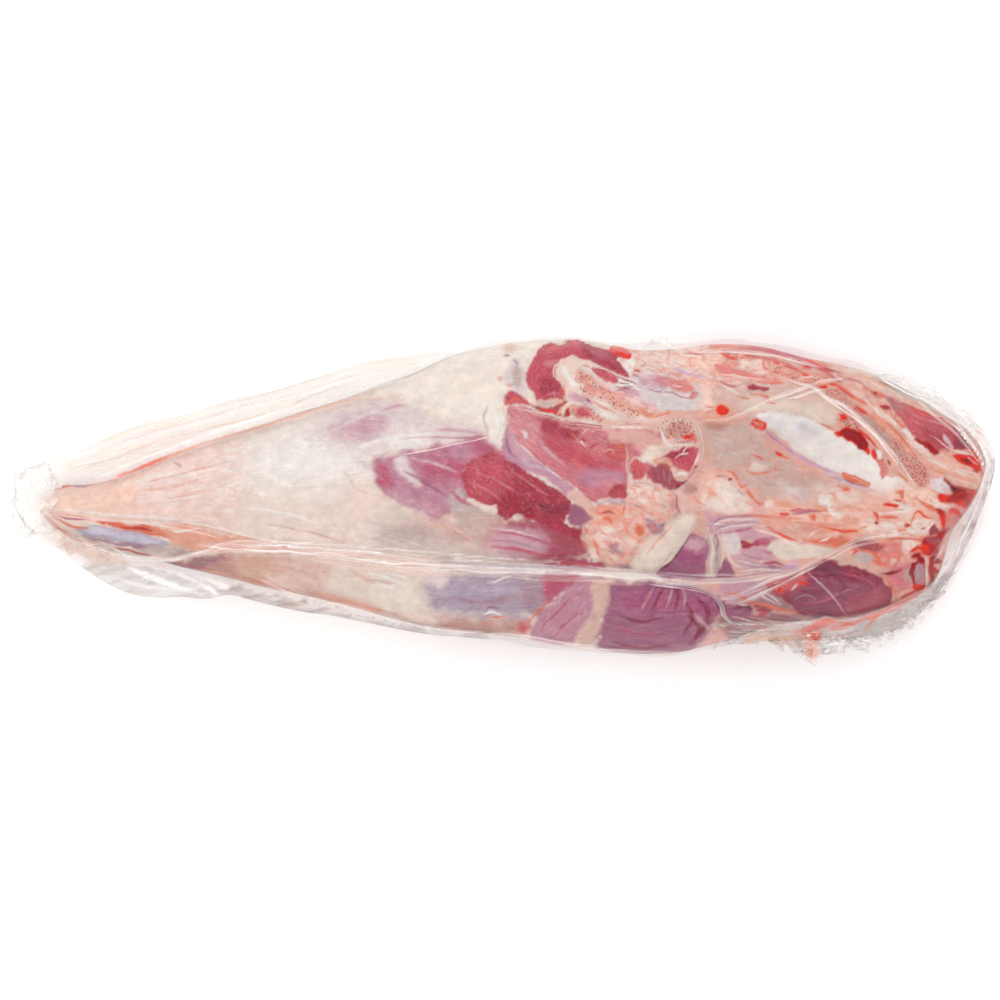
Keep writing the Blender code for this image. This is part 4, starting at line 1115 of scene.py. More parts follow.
# The white bone lines and patch and the first white fascia line after them, at x 189 to 217 and y -15 to 0,
# are painted highlights. The bluish bone patch at x 215 to 226 is painted shadow on the bone, and the dark
# crease line at x 225 to 229 painted shade.
LOIN = """
area rosy_fascia 5 0.3 0  148,62 170,68 196,60 220,48 232,38 220,36 200,46 176,56 158,60
area cream_fascia 4 0.3 0  174,66.4 190,63 214,51 226,42 214,46 184,59
line orange_fascia 1.8 1.6 0  178,63 188,59.6 198,55
line orange_fascia 1 1 0  205,50 212,46.6 220,42.4
line lean 3.8 1.8 0.2  102,80.6 118,80.4 138,75
line salmon_lean 2.6 1.6 0  132,74.6 138,72.6 144,71.4
line lean 2.6 1.2 0.1  142,74 147,72 152,70
line thin_blood 1.4 1.2 0  104,76 112,77 120,76
area red_spongy_bone 1.4 0.8 0  110.5,75 114,76 119,75.5 125,76 129,73.5 128,70 123,71 118,70 113,72
line blood 1 0.8 0  110,73.6 114,71.4 119,70
area salmon_lean 1.2 0.4 -12  110,68 122,65 126,62.6 132,62 138,61 141.8,60 141,58.4 134,58.2 116,62
    108,65.4
line thin_blood 1.8 1 0  133,59.6 141,59
line pink_lean 0.8 0.8 0.2  112,66 120,63.6 128,61
area cream_fascia 2.2 0.5 0  121,70 131,70.4 132,65 131,63 126,62.8 123,65 120,66
area red_spongy_bone 1.6 0.6 -14  131.6,70 136,70 158,63.6 166,62 170,59.6 160,57 150,57.6 141,61.6 136,64
line thin_blood 2 1.4 0  149,69.6 156,69 166,66.6
line thin_blood 1.4 0.8 0  131.4,69.6 131.4,67.4 132.2,65.8 134,65.4
area blood 1 0 0  136.6,69.4 139,69.4 139,67.6 137,68
line blood 1.3 0.8 0.1  141,67.4 145,66.4 150.6,65.2
line blood 1 0.8 0.1  144.6,66.4 148,64.8 151,63.4
line blood 1.5 0.8 0.1  150.6,63.2 152.6,62.2 154.4,61.2
area blood 1.4 0.1 0  151,68.6 157,67.6 155,65.8 151.4,66.4
line deep_blood 1.3 0.9 0  161,66.6 165,64.8 171,63.2
line thin_blood 1.3 1 0  173,61.4 178,59.4
area blood 0.8 0 0  159.6,56.4 162.4,57.4 163.4,56 160.6,55.2
line thin_blood 2 1.2 0.1  156,57.6 164,58.4 170,57 175,52.6 180,49.4 186,47
line blood 1.2 0.9 0  164.6,57.8 168,57.6
line blood 1.2 1 0.1  168.6,57 172,54.4 177,51
area thin_blood 1.6 0 0  181,57 184,57 185,55 182,54.6
area thin_blood 1.6 0 0  185,54.8 189,55 193,52 189,50.6
area deep_blood 1.2 0 0  185.8,54.8 188.2,54.8 188,52.8 186.4,53
line dusk_fascia 1 1 0  165,66 172,61 180,58.6 190,50
area grey_spongy_bone 1.6 0.6 -38  164,55 170,54 181,45.6 188,41 194,35 200,31 206,24 213,16 213.6,9.6
    212,6.6 209,7 206,11 200,19.6 186,35.6 172,47.6 164,51
area dun_fascia 2 0 -38  182,43 187,40 191,35 196,31 195,28 189,33 183,39
area dun_fascia 2 0 -38  197,27 203,22 208,17 208,14 202,19 197,24
area red_spongy_bone 1.6 0 0  206,14 212,13.6 213.6,9 211,6.4 207.6,8
area orange_fascia 1.4 0.5 -38  186,43.6 192,41 203,30 207,24.6 210,20.6 206,22 201,28 188,39
line thin_blood 1 1 0  188,42 196,36 202,30 208,22
line blood 1.8 1 0.1  177.6,46.6 181,44.6 184,42.8
line thin_blood 1.2 1 0  184,43 188,40.4
area cream_fascia 1.4 0.4 -40  183,50 192,44 198,39 203,36 214,25.6 220,22.6 216,21 208,26 202,33 195,39
    188,44
line white_fascia 0.9 0.8 0.3  188,45.6 195,41 202,34.6 212,26.4
area red_spongy_bone 1.6 0 -30  189,47.6 194,48 198,44 202,38 200,36 196,41 190,45
area deep_blood 1 0 0  190,47.4 193,47.6 195.6,45.6 192,45.4
line thin_blood 1 0.9 0  199,39.6 201,37 202.4,36
area lean 1 0.3 -28  194,51 199,49.6 217,41.4 222,39.8 232,31.4 236,26 233,25 228,25.6 223,23.4 219,24
    211,29.6 207,32 204,35 201,40 197,45
area dusk_fascia 2.4 0 -28  192,51.4 199,49.6 204,46 199,45
area deep_lean 4 0 -28  211,36 220,35 224,30 222,25 217,26.6 212,31
area dark_lean 2 0 -28  227,27 232,26 234,28 230,32 227,31
line bright_lean 1.6 1 0  205,47 214,42.6 222,39.8
line blood 0.8 0.8 0  202,47.8 214,42.6 222,40
line deep_lean 0.6 0.6 -0.1  204,42 212,38.6 222,35.6 230,30
line pink_lean 0.5 0.5 0.1  203,44 212,40.6 222,37 230,31.6
area pale_silverskin 0.7 0.6 0  222,32.8 222.2,29.4 224.4,27.2 226.6,24.4 226,28.6
area deep_blood 1.2 0 0  207,31.8 211,29.8 215,28.6 218,25 216,23.6 212,27 208,30
area pink_membrane 3 0 -24  216,22.6 226,24 234,20 240,14 240,8 226,10 218,13 213,18
line cream_fascia 1.4 0.9 0.2  214,21 224,17 240,12
line orange_fascia 0.9 0.8 0  215,17.6 219,14.8 222,13
line orange_fascia 1.6 1.4 0  222,13 230,11 239,9.6
area thin_blood 1.6 0 60  235,26 239,24.6 241.4,16 240.8,12 239,16 236.4,22
area deep_blood 1.8 0.2 -20  226,22.8 232,22.6 238,21.6 240.6,17 239.6,14.4 235,16.4 230,18.6
area blue_bone 1.2 0.4 0  215,8.4 218.4,10.8 222,9.8 225.4,7 226,4.6 222,3 218,4.6
area mist_fascia 1.6 0 0  220,8 224,7 225.4,5 222,4
area white_fascia 1.4 0.2 0  217,1 219,-1 226,-3.6 222,-4.4 216.6,-2.4
area blood 1.2 0.2 0  219.2,2 221,3.2 224,1.6 231,1 238.6,4.8 239,2 236.6,-1 235,-5 231,-3.6 226,-2
    221.6,-1.4 219.4,0
area clot 1.4 -0.4 0  221.6,10 228,7 233,5 238.4,4.6 234,3.6 229,3.4 226,0 223.6,-1.4 225,2 226.4,4.6
line deep_blood 1.6 1 0  227,7.4 233,5.6 238.6,4.4
area grey_spongy_bone 2 -0.2 -50  200,22 206,23 210,18.6 214,14 214,8 211,6.6 208,9 205,13.6 202,17
line orange_fascia 0.5 0.5 0  213,18.6 221,15 229,12 237,9.6
line white_fascia 0.6 0.5 0.3  211,22 220,17.6 238,10.6
line white_fascia 0.6 0.5 0.3  216,15.4 231,9.4 238,7.6
line orange_fat 1 0.8 0  215,15.6 219,14 223,12.4
area clot 0.8 -0.5 0  222,10.6 226,7.6 230,6.4 234.6,5.2 233,3.6 229,3.4 226,4.4 224.6,6.4 223,8
line crevice 1.6 0.8 -0.5  224.8,6.8 226.6,5.2 229.4,4.6
area blood 0.9 0.3 0  218.8,1 220,3 222.4,3.4 225,2.4 228,3.4 230.6,3 234,4.6 238,5 239,3.4 236,-2
    234.6,-5 229,-2.4 226,-1.8 222,-2
area deep_blood 1.2 -0.3 0  225,2.2 229,3.4 231,1 229,-1.4 226,-1.6 223.6,-0.6 226,0.6
area deep_blood 1.2 0 0  229,5.2 234,4.4 237,2.4 234,1.4 236,-1 234,-3.6 232,-1 231,2
area clot 0.9 0 0  229.4,3 231.4,2.4 232,0.6 230,1
area deep_blood 1 0 0  218,-4.8 220,-4.6 222.4,-5.8 222.2,-8 219.8,-7
area blood 1 0 0  226,-4.4 228.4,-5 231.6,-7.6 229.4,-9 225,-6
area blood 0.9 0 0  220.4,-7.8 222.8,-7.6 224,-10 223.4,-12.4 221.4,-13.4 220.2,-11
area salmon_lean 1.4 0 0  224,-9 229,-8.6 224,-14.4 222.4,-13.6
area maroon_muscle 1 -0.4 0  214,-15 217,-11.8 218,-13.6 220,-15 224.6,-13.8 223.4,-16 219,-18 216.6,-17.4
    215,-18
area deep_blood 0.9 0 0  218,-16.8 221,-15.2 225,-14 221.6,-17.6 218.8,-18.8
area maroon_muscle 1.2 -0.5 0  213,-19 216,-18.6 222,-20.4 217,-23.4 216,-22 213.6,-22
area deep_blood 1 0 0  211,-20.4 213,-20 214,-22 216,-23 218.6,-22.8 216,-27 213.6,-28.4 211,-26 213,-24.6
    211.6,-22.6
area blood 0.9 0.2 0  205,-25.4 207,-23.6 210,-24 213.6,-22.8 214.8,-25 213.6,-27 211,-26.8 209,-25.6
    206,-26
area clot 1 -0.5 0  206,-26.6 209,-26.4 211,-28 213,-28.8 212,-32 210,-31.4 209,-28.8 206,-28.4
line white_bone 1.3 0.6 0.7  213.4,-15 215.2,-12.4 217,-10.4
line white_bone 0.9 0.6 0.6  212.4,-12.6 214.4,-11
area white_bone 1.2 0.6 0  199.6,-2.6 204,-2.8 208.6,-4.8 206,-5.8 202,-4.6
line white_bone 0.9 0.6 0.5  195,-0.4 200,-2.4 204,-3.4
line white_fascia 0.8 0.6 0.4  189,-6.8 198,-6.2 206,-5.2
line white_fascia 0.8 0.6 0.4  196,-17 204,-16 212,-14.8
area blood 0.9 0 0  191.4,-2.4 193,-1 196,-1.6 199.6,-3 198,-4
line blood 1 0.7 0  187,-5.4 188.6,-7.4 189.4,-9.8
area clot 0.7 0 0  187,-11 188.6,-10.4 189,-12 187.6,-12.4
line thin_blood 1.4 0.8 0  190,-8.6 194,-8.6 199.4,-8.8
line blood 1 0.7 0  196.6,0.5 199,-0.4 200.4,-1
line thin_blood 1.4 0.8 0  197.6,3.6 200.4,3.4 201.4,1 201.6,4.6
line deep_blood 0.9 0.6 0  210.4,-14.5 212.8,-13.6
line deep_blood 0.9 0.6 0  203,-13.5 205.4,-12.6
line blood 1.1 0.8 0  207.6,-6.4 210,-6 212,-8 215,-9.4
line thin_blood 1.6 1 0  208,1.6 212,-2 216,-4.6 219,-5.8
area clot 1 -0.6 0  176,33.6 180,34 182.8,31 184.2,27.2 182,25 179,27 176.6,30
line blood 1.1 0.7 0.1  180.6,34.8 185,30.8 188.8,26
area blood 0.9 0 0  185.4,23 187,25.4 188.4,22.6 187.6,20.4 186,21.4
area salmon_lean 1 0 0  188,21 190,19.6 194.6,15 193,12 191,11.4 190,15
line clot 0.9 0.5 -0.3  193.6,20 194.4,18.8 195,17.4
line thin_blood 1 0.7 0  199,13.6 202,11 204.4,8.4
area deep_blood 1.2 0 0  206,33 210,31 216,27.4 219,24.6 217.6,22.8 215,24.8 208.6,30
area clot 0.8 -0.3 0  213.4,28.6 215.6,27.6 215.8,25.6 214,26
area blood 1.2 0.3 0  226,22.4 229,23 237,21.8 239.6,19 241,16.6 239,15.2 236,15.8 233,17.4 230,18.4
area clot 1 -0.3 0  230,21 232,20.6 235.6,20.4 236,18.6 233,18.6
line deep_blood 1 0.7 0  236.6,15 239,13.6
line rosy_fascia 0.5 0.4 0.2  234,21.6 236,19.4 239,17.6
line maroon_muscle 3 2 0  226,28 229,27.4 233,26.4
line lean 2 1.6 0  112,74.6 124,75.6 136,74.4 147,71
line crimson_muscle 2 1.5 0  140,74 151,70 162,64.4 171,58.6
line blood 1.3 1.1 0  150,71.4 157,68.4 165,63
line bright_lean 1.4 1.2 0  122,72 132,71 142,68.6 150,65
line pink_fat 1.1 0.9 0.2  128,73.4 138,72 148,68.6
"""
# streaks: red for blood or pale for fascia, how much of it shows, soft edge, turn, outline.
STREAKS = """
streaks pale 0.5 12 6 -190,8 -150,24 -100,40 -60,42 -50,22 -70,4 -110,0 -150,-2 -190,-4
streaks red 0.1 10 8 -226,2 -196,9 -160,24 -130,30 -126,8 -140,-12 -190,-9 -226,-5
streaks pale 0.3 5 -16 -92,34 -70,46 -40,48 -8,38 2,30 -20,26 -50,24 -80,26
streaks pale 0.25 5 -24 -62,20 -36,25 -4,31 2,20 -14,2 -30,-9 -54,0
streaks red 0.1 8 -12 -136,-28 -100,-36 -80,-48 -30,-60 -10,-63 -60,-62 -110,-46
streaks red 0.12 6 -20 -40,-6 -10,-10 2,-20 -10,-26 -40,-16
streaks speckle 0.5 5 -34 30,41 46,39 60,37 78,35 79,28 68,23 42,29 32,34
streaks speckle 0.5 4 62 14,60 18,70 26,78 40,80 56,76 46,70 30,68 28,58 32,51 20,50
streaks speckle 0.4 6 -28 -18,12 0,20 18,12 34,0 36,-8 16,-8 -12,0
streaks red 0.3 4 -24 40,64 58,56 78,46 70,41 52,47 42,54
streaks pale 0.5 6 -20 44,66 70,62 104,58 104,46 80,45 56,52
streaks red 0.3 8 -14 60,76 84,84 108,80 150,70 190,56 186,48 150,60 100,56 62,66
streaks red 0.32 6 -30 44,-10 52,2 72,9 88,2 88,-8 72,-22 60,-33 44,-24
streaks red 0.12 9 -24 98,38 120,42 140,30 170,10 190,0 180,-6 130,-8 98,-6
streaks red 0.24 6 -14 134,-4 170,-4 200,4 224,4 222,-18 196,-19 150,-17 136,-12
streaks red 0.25 6 -60 186,-18 224,-8 226,-20 210,-48 198,-48 192,-34 182,-24
streaks red 0.2 6 -32 156,60 180,62 214,44 232,26 242,20 242,0 220,0 206,12 196,26 176,44
streaks pale 0.1 5 -40 142,-44 160,-32 178,-33 195,-44 190,-54 166,-61 148,-54
streaks pale 0.15 5 -10 50,-42 92,-42 110,-52 100,-74 60,-78 50,-64
streaks pale 0.3 5 40 14,-64 34,-44 50,-40 50,-56 38,-70 24,-72
streaks pale 0.25 8 6 -36,-42 0,-36 24,-40 22,-54 -10,-60 -34,-54
streaks speckle 0.6 5 -36 160,60 190,60 214,30 216,8 206,8 190,34 166,50
streaks speckle 0.5 5 -14 108,76 140,72 168,64 164,58 136,62 112,70
streaks pale 0.5 6 -12 -150,-20 -110,-12 -60,-16 -20,-26 -60,-24 -110,-22
streaks speckle 0.7 4 -10 36,33 50,32 62,28 68,24 56,20 38,26
streaks pale 0.25 5 -34 6,40 20,38 30,24 20,18 8,28
streaks pale 0.14 5 -36 -18,14 0,20 18,12 34,0 20,-6 0,0
"""
LEG_TOP = (
    GROUND + SHANK + CALF + TOP_FAT + LEAN + SILVERSKIN + ADDUCTOR + FEMUR_HEAD + AITCH_BONE
    + FLANK + CAVITY + GROIN + FAT_KNOT + RUMP + LOIN + STREAKS
)

# The outer side of the leg, that it lies on: fat and fascia with muscle showing through.
LEG_UNDER = """
area beige_membrane 12 0 0  62,84 120,90 190,78 256,48 256,-10 222,-54 150,-90 60,-90 84,-40 88,0 78,40
area salmon_fascia 9 0 0  -236,0 -215,7 -195,10 -178,18 -160,22 -146,12 -152,-4 -175,-8 -205,-8 -230,-6
area pink_fascia 8 0 0  -176,12 -158,21 -142,16 -140,2 -160,-7 -180,-4
area salmon_fascia 14 0 0  -240,8 -200,14 -150,20 -130,6 -150,-20 -200,-20 -240,-10
area warm_fat 14 0.5 0  -60,60 -20,78 30,84 80,80 90,50 60,34 0,30 -50,36
area mauve_fascia 9 -0.3 -10  -90,20 -50,28 -10,22 -16,4 -50,-4 -86,4
area crimson_muscle 7 -0.4 -14  -60,18 -34,20 -24,10 -40,4 -58,8
area mauve_fascia 8 -0.3 8  20,-20 60,-14 96,-22 92,-44 56,-52 22,-44
area violet_muscle 6 -0.4 8  44,-26 70,-22 84,-30 72,-40 48,-40
area rosy_fascia 12 0 0  110,60 180,50 230,26 226,-4 190,-30 140,-40 110,-10
area lean 6 -0.4 -24  150,10 180,14 200,4 190,-14 160,-16 148,-4
line white_fascia 3 3 0.4  -140,4 -90,10 -40,34 20,46 70,40
line white_fascia 2.4 2.6 0.4  20,6 60,12 110,6 150,-18
line thin_blood 1.6 1.6 0  -190,-8 -150,-14 -110,-22
area crimson_muscle 5 0.4 -6  -64,-52 -30,-64 10,-78 50,-88 44,-72 4,-60 -40,-46
area dull_fat 5 0.8 0  40,-66 70,-72 100,-70 120,-60 96,-52 60,-54
area warm_fat 6 0.8 0  -40,60 0,72 40,80 74,82 78,66 40,58 0,52 -30,50
area violet_muscle 5 0.4 -8  96,84 130,82 170,70 190,54 160,56 120,66
area pink_fat 4 0.7 0  144,44 176,38 206,24 198,10 166,20 142,30
area purple_muscle 5 0.4 10  104,-66 130,-76 164,-72 190,-56 164,-54 130,-56
area blush_fascia 6 0.3 0  -10,84 30,96 70,100 60,90 20,82
area salmon_fascia 4 0.3 0  196,-30 214,-40 226,-30 222,-12 206,-16
area dull_fat 3 0.7 0  200,40 216,34 226,20 218,14 204,26
area mist_fascia 4 0.3 0  -150,-4 -110,-14 -74,-22 -60,-14 -100,-4
line white_fascia 1.3 1 0.5  -60,52 -20,64 30,74 74,76
line white_fascia 1 1 0.5  -40,40 0,54 50,64 90,64
line white_fascia 1.1 1 0.5  60,88 100,86 140,80 180,62
line mauve_fascia 2 1.6 -0.2  -20,-66 30,-80 80,-84 130,-74
line white_fascia 1.2 1 0.5  -10,-60 40,-74 90,-78 140,-66
line white_fascia 1 1 0.5  -120,-20 -80,-36 -40,-50 0,-58
line white_fascia 1 1 0.4  -150,14 -30,50
line thin_blood 1.1 0.8 0  90,74 120,76 150,64
line thin_blood 1 0.8 0  10,-60 40,-66 70,-62
line thin_blood 1.4 1 0  176,30 196,22 214,6
line blue_vein 1.6 1.2 0.5  -100,-18 -60,-30 -20,-38 20,-44 50,-52
line blue_vein 1.2 1 0.5  -20,-38 6,-30 30,-28
line blue_vein 1.2 1 0.5  -90,24 -50,32 -20,40 6,40
line crimson_muscle 1.6 1 0  112,-50 146,-48 180,-40 204,-26
line orange_fascia 1.6 1.4 0  -196,-12 -160,-20 -120,-30 -84,-42
line orange_fascia 1.4 1.4 0  -190,12 -150,24 -110,34
streaks pale 0.5 8 8  -60,64 0,80 70,90 80,60 0,44 -60,34
streaks pale 0.5 8 -8  -60,-40 0,-60 90,-72 100,-90 0,-84 -60,-60
streaks red 0.3 6 -14  100,90 160,80 210,50 220,0 150,10 104,50
streaks red 0.3 6 14  104,-50 160,-44 220,-20 210,-50 160,-80 110,-84
"""


# ---------------------------------------------------------------- film

# The bag's outline from above, from the gathered tail to the welded end:
# x, edge towards -Y, edge towards +Y, height of the rim.
BAG = (
    (-245, -8, 12, 15),
    (-241, -15, 19, 15),
    (-235, -18, 20.5, 15),
    (-222.5, -24.5, 22, 15),
    (-210, -33.5, 24.5, 15),
    (-197.5, -41.5, 31, 16),
    (-185, -47, 36, 17),
    (-172.5, -49, 39.5, 17),
    (-160, -48.5, 42, 19),
    (-147.5, -49.5, 46, 20),
    (-135, -47.5, 50, 22),
    (-122.5, -50.5, 52.5, 24),
    (-110, -53.5, 55.5, 25),
    (-97.5, -56, 59.5, 26),
    (-85, -57.5, 63, 28),
    (-72.5, -60, 67, 29),
    (-60, -62.5, 70, 30),
    (-47.5, -65, 71.5, 31),
    (-35, -67, 73, 32),
    (-22.5, -67.8, 74, 33),
    (-10, -69, 77, 34),
    (2.5, -70, 79.4, 35),
    (15, -73.2, 80.2, 35),
    (27.5, -74.4, 81.2, 36),
    (40, -75.4, 81, 36),
    (52.5, -76, 78.6, 36),
    (65, -77, 78, 36),
    (77.5, -78, 79, 36),
    (90, -77, 78, 36),
    (102.5, -74.5, 79.4, 36),
    (115, -72, 80.6, 35),
    (127.5, -71, 78.6, 35),
    (140, -70, 77.4, 34),
    (152.5, -70, 74.4, 33),
    (165, -70, 71, 31),
    (177.5, -70, 69.4, 29),
    (190, -68, 63, 27),
    (202.5, -62, 58.5, 25),
    (215, -52, 53, 23),
    (227.5, -34, 45, 20),
    (240, -9, 37, 16),
    (246.5, 8, 28, 14),
    (248, 14, 24, 14),
)
FILM_GAP = 0.5  # between film and meat
WEB_GAP = 1.3  # the two layers of empty film lie this far apart
FILM_PULLS = 420  # how often the film is pulled level: more makes it span wider hollows
FILM_RINGS = 400
FILM_TOP_POINTS = 195
FILM_BELLY_POINTS = 44

# area: look, soft edge, 0, 0, outline. line: look, width, soft edge, 0, path.
# The white and glint lines here are painted highlights along folds of the film.
HAZE = """
area web_film 2.5 0 0  -232,17 -222,14.5 -205,12 -190,15 -160,27 -128,36 -80,52 -56,61 -40,69 -20,78
    -50,90 -120,72 -200,46 -240,28
line clear_film 2.4 2 0  -216,21 -190,29 -165,35 -112,50 -80,60
line tan_film 1.2 1.4 0  -214,16 -195,20 -178,26.6 -160,32 -140,37 -118,43
line tan_film 0.9 1.2 0  -200,25 -180,32 -160,37.5 -140,43.5 -120,49
line tan_film 0.8 1.2 0  -130,47 -110,51 -70,63
area tan_film 4 0 0  -230,-14 -218,-18 -192,-27 -184,-31 -188,-35 -200,-34 -212,-28 -226,-22
area flap_film 3 0 0  -206,-32 -194,-32 -180,-32 -165,-36 -148,-39 -134,-43 -128,-44 -124,-62 -200,-62
    -214,-40
line white_film 3 2 0  -186,-34 -158,-45
line white_film 2 1.4 0  -168,-34 -146,-44 -141,-48
line grey_film 1.6 1.4 0  -190,-40 -176,-43.6 -160,-45 -148,-47
line white_film 2.6 1.6 0  -148,-39 -138,-43 -128,-46
area mauve_film 3 0 0  -134,-42.5 -110,-47.4 -88,-52.4 -62,-59.4 -28,-66 -5,-68 -5,-80 -60,-76 -130,-66
line tan_film 1.2 1.2 0  -124,-46 -104,-51 -60,-60
area lavender_film 2.4 0 0  211,-57 219,-44 226,-31 232,-16 238,-4 243,8 248,22 262,34 264,-70 214,-72
area tan_film 2 0 0  128,-66 138,-66 150,-66 158,-68 152,-78 124,-78 116,-74
area flap_film 3 0 0  160,-62 176,-61 192,-57 204,-50.6 214,-47 222,-40 236,-50 200,-90 160,-90
area stained_film 2 0 0  147,-66.6 154,-62 161,-59 170,-60 178,-60 184,-58 176,-63 170,-65.6 162,-64
    160,-70 155,-72.6 153,-67
line stained_film 3 1.6 0  176,-60.6 194,-55 215,-44
line stained_film 1.6 1.4 0  182,-65 188,-58.6 199,-51
area milky_film 4 0 0  186,66 200,57 228,42 240,33 256,40 220,72
area milky_film 8 0 0  -246,24 -224,24 -221,6 -222,-8 -232,-24 -256,-10 -258,14
line white_film 1 0.7 0  -188,-28.6 -180,-30 -170,-30.6 -160,-29 -140,-23 -128,-20
line white_film 0.8 0.6 0  -203,-19 -190,-26 -184,-28.8
line stained_film 0.7 0.6 0  -176,-31.6 -168,-33.6 -160,-35.4
line salmon_film 2.6 1.6 0  -202,8.4 -190,12 -167,21.2 -137,32 -123,35.4 -80,48.6 -62,52
line stained_film 2.2 1.2 0  -192,12 -184,14.6 -167,21.4
line white_film 1 0.7 0  -200,12 -160,27.8 -140,35 -120,41 -100,47.4
line white_film 1.1 0.5 0  -150,-26.6 -142,-22.8 -132,-20.6 -115,-20.8 -76,-23 -10,-28.4 30,-31
line glint_film 0.7 0.4 0  -134,-22.6 -110,-22.8 -76,-25 0,-31
line stained_film 0.8 0.5 0  -130,-24 -104,-24.4 -80,-26.4 -20,-31.8
line white_film 1.1 0.5 0  -146,-26.4 -125,-25.6 -100,-26.6 -60,-30.4 -20,-33 40,-35.4
line orange_film 0.9 0.6 0  -118,-27.6 -100,-28.4 -60,-32 -20,-34.8
line brown_film 0.6 0.5 0  -40,-30 -10,-32.4 60,-35
line white_film 0.8 0.5 0  -60,-33 -20,-36 20,-36.6 60,-38.4 84,-41
line lavender_film 2 1 0  -40,-31.4 30,-34 70,-36
line brown_film 0.8 0.5 0  244,16 242,4 237,-10 230,-25 221,-40 214,-50
line white_film 0.8 0.4 0  242,14 240,2 235,-11 227,-26 219,-39
line mauve_film 1 0.6 0  240,4 236,-7 230,-18 217,-42
line glint_film 0.7 0.4 0  245.6,14 243.6,2 239,-11 232,-26 224,-40
line orange_film 1.4 1 0  232,-8 230,-15 224,-28
line glint_film 0.9 0.5 0  222,-23 219.6,-27 216.6,-31
line brown_film 1 0.5 0  221,-24 218.6,-27.4 217,-30
line glint_film 1 0.5 0  226,38 231,33.6 240,21.6 242.6,15
line brown_film 0.7 0.4 0  229,38 234,32.6 238.6,26.4 242,19
line glint_film 0.8 0.4 0  231,38 237,32 241.6,25 244,18
line stained_film 0.9 0.5 0  237.6,35.4 239.6,33.6 242,31.8
line mauve_film 1 0.6 0  242.6,26 244.6,22.6 246,18.6
line salmon_film 1.4 1 0  243,29.6 244.6,27.6
"""

